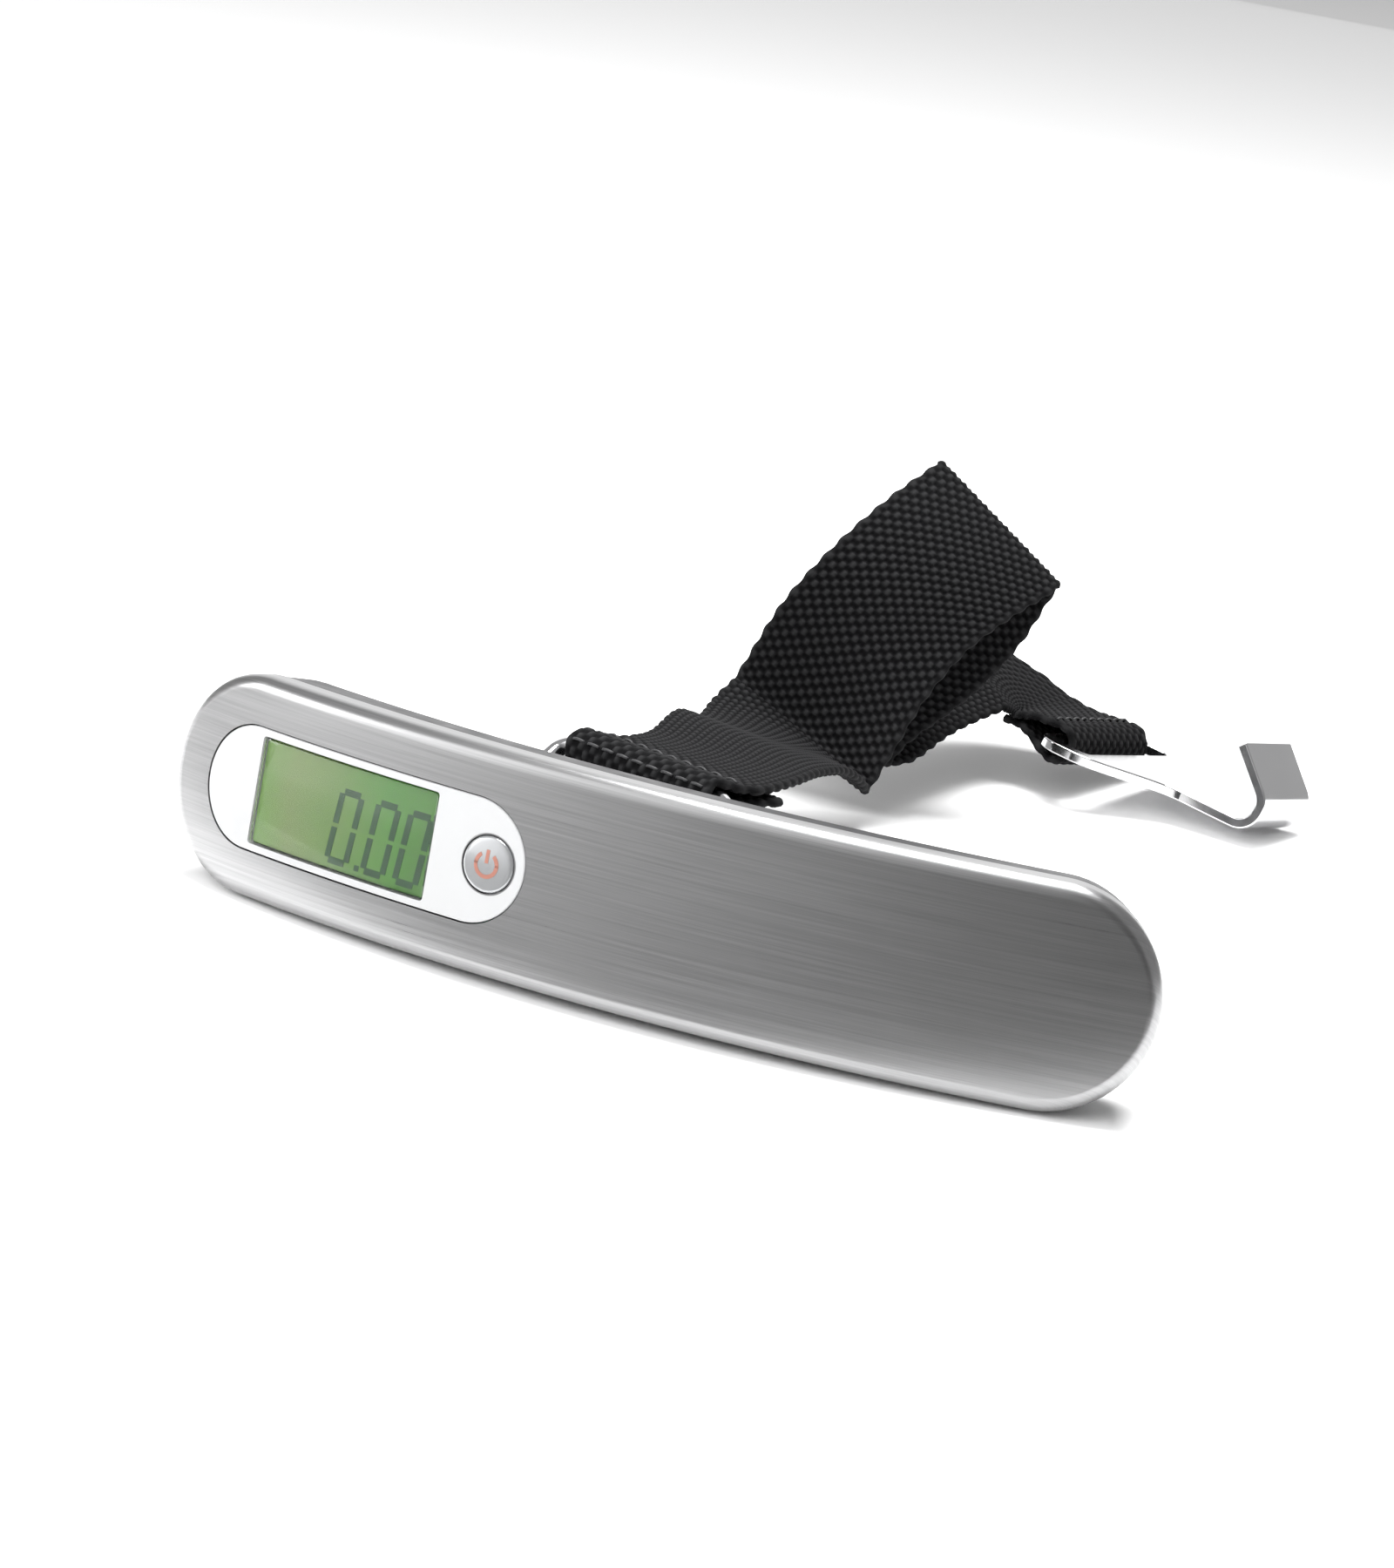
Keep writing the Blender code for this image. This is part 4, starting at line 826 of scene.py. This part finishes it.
def strap_line(step):
    """Middle, direction across, direction along and normal of the webbing at even steps of its length."""
    stations = strap_stations()
    middles = catmull_rom([middle for middle, across in stations], 24)
    widths = catmull_rom([across for middle, across in stations], 24)
    travelled = np.concatenate([[0], np.cumsum(np.linalg.norm(np.diff(middles, axis=0), axis=1))])
    length = travelled[-1]
    places = np.linspace(0, length, int(length / step) + 1)
    middle = np.stack([np.interp(places, travelled, middles[:, i]) for i in range(3)], 1)
    across = unit(np.stack([np.interp(places, travelled, widths[:, i]) for i in range(3)], 1))
    kernel = np.ones(5) / 5
    for i in range(3):
        smooth = np.convolve(np.pad(middle[:, i], 2, mode="edge"), kernel, "valid")
        middle[2:-2, i] = smooth[2:-2]
    along = unit(np.gradient(middle, axis=0))
    return StrapLine(places, middle, across, along, unit(np.cross(across, along)), length)


# ---------------------------------------------------------------- the woven strap

WEAVE_ALONG, WEAVE_ACROSS, SELVAGE_PITCH = 1.8, 1.08, 3.4
STRAP_STEP, STRAP_COLUMNS = 0.26, 117
BASKET_RELIEF, RIB_RELIEF, YARN_RELIEF, SELVAGE_RELIEF, EDGE_RIPPLE = 0.19, 0.06, 0.04, 0.10, 0.14
EDGE_ROUND = 0.55


def relief(s, w, side):
    """Height of the weave: a basket pattern of yarns in ribs, and a corded selvage at each edge."""
    weave = np.sin(2 * pi * s / WEAVE_ALONG) * np.cos(2 * pi * w / (2 * WEAVE_ACROSS)) * side
    basket = BASKET_RELIEF * np.sign(weave) * np.abs(weave) ** 0.6
    ribs = RIB_RELIEF * np.cos(2 * pi * w / WEAVE_ACROSS) + YARN_RELIEF * np.cos(4 * pi * s / WEAVE_ALONG)
    inside = np.clip((WEB_WIDTH / 2 - np.abs(w)) / 1.1, 0, 1)
    selvage = SELVAGE_RELIEF * np.sin(2 * pi * s / SELVAGE_PITCH) * (1 - inside)
    return (basket + ribs) * inside + selvage


# Painted shade: the weave's ridges paler and its hollows darker, taken from the relief's height.
def painted_weave_shade(s, w, side):
    return np.clip(0.5 + 2.4 * relief(s, w, side), 0.0, 1.0).ravel()


def strap_faces_points(line, s, w):
    """Grids of points on the two faces of the webbing, whose edges are round and rippled."""
    past_edge = np.clip((np.abs(w) - (WEB_WIDTH / 2 - EDGE_ROUND)) / EDGE_ROUND, 0, 1)
    round_edge = np.sqrt(np.clip(1 - past_edge ** 2, 0.02, 1))
    near_edge = np.clip((np.abs(w) - WEB_WIDTH / 2 + 1.0) / 1.0, 0, 1)
    spread = w + np.sign(w) * (EDGE_RIPPLE * np.sin(2 * pi * s / SELVAGE_PITCH) * near_edge)
    base = line.middle[:, None, :] + line.across[:, None, :] * spread[..., None]
    core = WEB_THICK / 2 - 0.12
    top = base + line.normal[:, None, :] * ((core + relief(s, w, 1)) * round_edge)[..., None]
    low = base - line.normal[:, None, :] * ((core + relief(s, w, -1)) * round_edge)[..., None]
    return top, low


def strap_quads(rows, columns):
    """Faces of the closed ribbon: its two grids, then its two long edges, then its two ends."""
    upper = np.arange(rows * columns).reshape(rows, columns)
    lower = upper + rows * columns
    faces = []
    for grid, flip in ((upper, False), (lower, True)):
        quads = np.stack([grid[:-1, :-1], grid[:-1, 1:], grid[1:, 1:], grid[1:, :-1]], -1).reshape(-1, 4)
        faces.append(quads[:, ::-1] if flip else quads)
    seams = ((upper[:, 0], lower[:, 0], False), (upper[:, -1], lower[:, -1], True),
             (upper[0], lower[0], True), (upper[-1], lower[-1], False))
    for a, b, flip in seams:
        quads = np.stack([a[:-1], a[1:], b[1:], b[:-1]], -1)
        faces.append(quads[:, ::-1] if flip else quads)
    return np.concatenate(faces)


def strap_mesh(line):
    """The woven ribbon in metres, with a flat UV map and, as an attribute, a painted shade taken from the
    height of each yarn: paler ridges, darker hollows.
    """
    s = line.places[:, None]
    w = np.linspace(-0.5, 0.5, STRAP_COLUMNS)[None, :] * WEB_WIDTH
    top, low = strap_faces_points(line, s, w)
    shape = top.shape[:2]
    points = (np.concatenate([top.reshape(-1, 3), low.reshape(-1, 3)]) + np.array(FACE_TOP)) * MM
    mesh = bpy.data.meshes.new("woven_strap")
    mesh.from_pydata(points.tolist(), [], strap_quads(*shape).tolist())
    bm = bmesh.new()
    bm.from_mesh(mesh)
    bmesh.ops.recalc_face_normals(bm, faces=bm.faces)
    bm.to_mesh(mesh)
    bm.free()
    flat = np.stack([np.broadcast_to(s, shape), np.broadcast_to(w, shape)], -1).reshape(-1, 2) * MM
    flat = np.concatenate([flat, flat])
    loops = np.empty(len(mesh.loops), dtype=np.int32)
    mesh.loops.foreach_get("vertex_index", loops)
    layer = mesh.uv_layers.new(name="UVMap")
    layer.data.foreach_set("uv", flat[loops].astype(np.float32).ravel())
    # Painted shade of the weave, darker in its hollows, stored for the strap's material.
    shade = mesh.attributes.new("weave_relief_shade", "FLOAT", "POINT")
    weave_shades = np.concatenate([painted_weave_shade(s, w, 1), painted_weave_shade(s, w, -1)])
    shade.data.foreach_set("value", weave_shades.astype(np.float32))
    mesh.materials.append(WEBBING)
    mesh.shade_smooth()
    return mesh


def webbing():
    """Woven strap with its stitches."""
    line = strap_line(STRAP_STEP)
    strap = bpy.data.objects.new("woven_strap", strap_mesh(line))
    bpy.context.scene.collection.objects.link(strap)
    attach(strap, "strap")
    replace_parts(strap, "strap_webbing")
    stitches = sewing(line)


# ---------------------------------------------------------------- stitches

STITCH_LENGTH, STITCH_SPACING, STITCHES_IN_ROW = 1.9, 2.6, 9
THREAD_WIDE, THREAD_HIGH, THREAD_SIDES = 0.2, 0.16, 8


def add_stitch(bm, line, place, offset):
    """One short thread across the strap, whose ends dip into the webbing."""
    i = int(np.argmin(abs(line.places - place)))
    across, along, normal = Vector(line.across[i]), Vector(line.along[i]), Vector(line.normal[i])
    centre = Vector(line.middle[i]) + across * offset
    sections = []
    for k in range(7):
        f = k / 6 - 0.5
        lift = WEB_THICK / 2 - 0.06 + 0.26 * cos(pi * f)
        middle = centre + across * (f * STITCH_LENGTH) + normal * lift
        sections.append([bm.verts.new(middle + along * (THREAD_WIDE * u) + normal * (THREAD_HIGH * v))
                         for u, v in circle(1.0, THREAD_SIDES)])
    for a, b in zip(sections, sections[1:]):
        for j in range(THREAD_SIDES):
            k = (j + 1) % THREAD_SIDES
            bm.faces.new((a[j], a[k], b[k], b[j]))
    bm.faces.new(sections[0][::-1])
    bm.faces.new(sections[-1])


def sewing(line):
    """Two rows of stitches through the ring's loop and one through the hook's."""
    bm = bmesh.new()
    ring_turn = pi * (RING_WIRE + WEB_GAP + WEB_THICK / 2)
    ring_row = 2 * RING_TAIL + ring_turn * 0.2 - 3.0
    hook_row = line.length - 2 * HOOK_TAIL - 1.5
    first = -STITCH_SPACING * (STITCHES_IN_ROW - 1) / 2
    for place in (ring_row, ring_row - 6.5, hook_row):
        for k in range(STITCHES_IN_ROW):
            add_stitch(bm, line, place, first + k * STITCH_SPACING)
    return add_piece("strap_stitches", bm, THREAD, BENCH, "strap", sharp=0, doubles=False)


# ---------------------------------------------------------------- carried-over nodes

def finish_nodes():
    """Better materials on the CAD nodes that stay."""
    screw = polished_steel("screw_zinc", (0.58, 0.59, 0.61), 0.26)
    contact = polished_steel("contact_nickel", (0.70, 0.66, 0.55), 0.22)
    alloy = polished_steel("beam_alloy", (0.72, 0.73, 0.75), 0.34)
    cell = polished_steel("cell_steel", (0.68, 0.69, 0.70), 0.24)
    chip = plastic("chip_black", (0.015, 0.015, 0.016), 0.4)
    film = plastic("gauge_film", (0.5, 0.3, 0.08), 0.4)
    looks = {
        "lcd_backlight": plastic("backlight", (0.72, 0.84, 0.68), 0.3),
        "zebra_strip": plastic("zebra", (0.1, 0.1, 0.1), 0.7),
        "circuit_board": plastic("board_green", (0.02, 0.15, 0.06), 0.38),
        "controller_chip": chip, "key_switch": chip,
        "casing_screw_1": screw, "casing_screw_2": screw, "casing_screw_3": screw,
        "load_cell": alloy, "load_cell_screw_1": screw, "load_cell_screw_2": screw,
        "strain_gauge_front": film, "strain_gauge_back": film,
        "beam_mount_block": BLACK, "eye_nut": screw,
        "coin_cell": cell, "negative_contact": contact, "positive_contact": contact,
        "battery_cap": BLACK,
        "battery_lead_red": plastic("lead_red", (0.42, 0.02, 0.02), 0.4),
        "battery_lead_black": plastic("lead_black", (0.02, 0.02, 0.02), 0.4),
        "gauge_lead": plastic("lead_white", (0.7, 0.7, 0.68), 0.4),
    }
    for name, mat in looks.items():
        mesh = NODES[name].data
        mesh.materials.clear()
        mesh.materials.append(mat)
        if name != "battery_cap":
            mesh.shade_smooth()
            mesh.set_sharp_from_angle(angle=radians(35))


# ---------------------------------------------------------------- stage and light

FLOOR_HALF, FLOOR_DROP = 3.0, 0.0003
CARD_SHADE_START, CARD_SHADE_END = -0.6, 0.4


def white_floor():
    bm = bmesh.new()
    bmesh.ops.create_grid(bm, x_segments=2, y_segments=2, size=1.0)
    bmesh.ops.scale(bm, vec=(FLOOR_HALF, FLOOR_HALF, 1.0), verts=bm.verts)
    mesh = bpy.data.meshes.new("floor")
    bm.to_mesh(mesh)
    bm.free()
    mat, tree, shader = new_material("floor_white", (0.94, 0.94, 0.94), 0.55)
    whites = ((0.0, (0.93, 0.93, 0.93)), (1.0, (0.95, 0.95, 0.95)))
    tree.links.new(ramp(tree, noise(tree, position(tree), 3.0, 2.0), whites), shader.inputs["Base Color"])
    shader.inputs["Specular IOR Level"].default_value = 0.2
    mesh.materials.append(mat)
    floor = bpy.data.objects.new("floor", mesh)
    floor.location = (0, 0.3, -FLOOR_DROP)
    bpy.context.scene.collection.objects.link(floor)


def card_material(name, shades):
    """Glowing cloth whose strength changes from left to right."""
    mat = bpy.data.materials.new(name)
    mat.use_nodes = True
    tree = mat.node_tree
    tree.nodes.remove(tree.nodes["Principled BSDF"])
    glow = tree.nodes.new("ShaderNodeEmission")
    split = tree.nodes.new("ShaderNodeSeparateXYZ")
    tree.links.new(position(tree), split.inputs["Vector"])
    place = map_range(tree, split.outputs["X"], CARD_SHADE_START, CARD_SHADE_END, 0.0, 1.0)
    tree.links.new(ramp(tree, place, [(at, (v, v, v)) for at, v in shades]), glow.inputs["Color"])
    tree.links.new(glow.outputs["Emission"], tree.nodes["Material Output"].inputs["Surface"])
    return mat


def reflector(name, section, x0, x1, shades):
    """A glowing card that only glossy rays see, from its section in y and z."""
    bm = bmesh.new()
    for (y0, z0), (y1, z1) in zip(section, section[1:]):
        corners = ((x0, y0, z0), (x1, y0, z0), (x1, y1, z1), (x0, y1, z1))
        bm.faces.new([bm.verts.new(c) for c in corners])
    mesh = bpy.data.meshes.new(name)
    bm.to_mesh(mesh)
    bm.free()
    mesh.materials.append(card_material(name + "_cloth", shades))
    card = bpy.data.objects.new(name, mesh)
    for ray in ("camera", "diffuse", "transmission", "shadow", "volume_scatter"):
        setattr(card, "visible_" + ray, False)
    bpy.context.scene.collection.objects.link(card)


def area_light(name, place, target, size, power):
    data = bpy.data.lights.new(name, "AREA")
    data.shape = "RECTANGLE"
    data.size = size
    data.size_y = size
    data.energy = power
    obj = bpy.data.objects.new(name, data)
    obj.location = place
    obj.rotation_euler = (Vector(target) - Vector(place)).to_track_quat("-Z", "Y").to_euler()
    bpy.context.scene.collection.objects.link(obj)


def studio_world():
    world = bpy.data.worlds.new("studio")
    bpy.context.scene.world = world
    world.use_nodes = True
    background = world.node_tree.nodes["Background"]
    background.inputs["Color"].default_value = (1.0, 1.0, 1.0, 1.0)
    background.inputs["Strength"].default_value = 0.35


def stage():
    """White floor, soft lights, and cards that give the steel its bright left and dark right."""
    white_floor()
    front_section = [(-0.098, 0.0005), (-0.40, 0.0005), (-0.46, 0.008), (-0.50, 0.05), (-0.50, 1.1)]
    front_shades = ((0.0, 2.3), (0.16, 1.6), (0.38, 1.05), (0.50, 0.52), (0.66, 0.23), (1.0, 0.14))
    reflector("front_card", front_section, -0.75, 0.9, front_shades)
    back_shades = ((0.0, 1.25), (0.55, 1.25), (0.92, 0.42), (1.0, 0.42))
    reflector("back_card", [(1.2, 0.001), (1.2, 1.4)], -1.5, 1.2, back_shades)
    studio_world()
    area_light("top_soft", (-0.02, 0.08, 0.8), (0.0, 0.03, 0), 0.42, 11.5)
    area_light("left_soft", (-0.75, -0.45, 0.30), (-0.03, -0.09, 0.02), 0.35, 2.5)
    area_light("front_fill", (-0.15, -0.85, 0.70), (0.0, 0.0, 0.02), 0.9, 10.0)


front_cover()
rear_casing()
panel()
display_glass()
display_digits()
display_window()
button_dome()
button_sign()
button_ring()
load_ring()
hook()
load_eye()
webbing()
finish_nodes()
stage()

bpy.context.scene.view_settings.view_transform = "Standard"
bpy.context.view_layer.update()
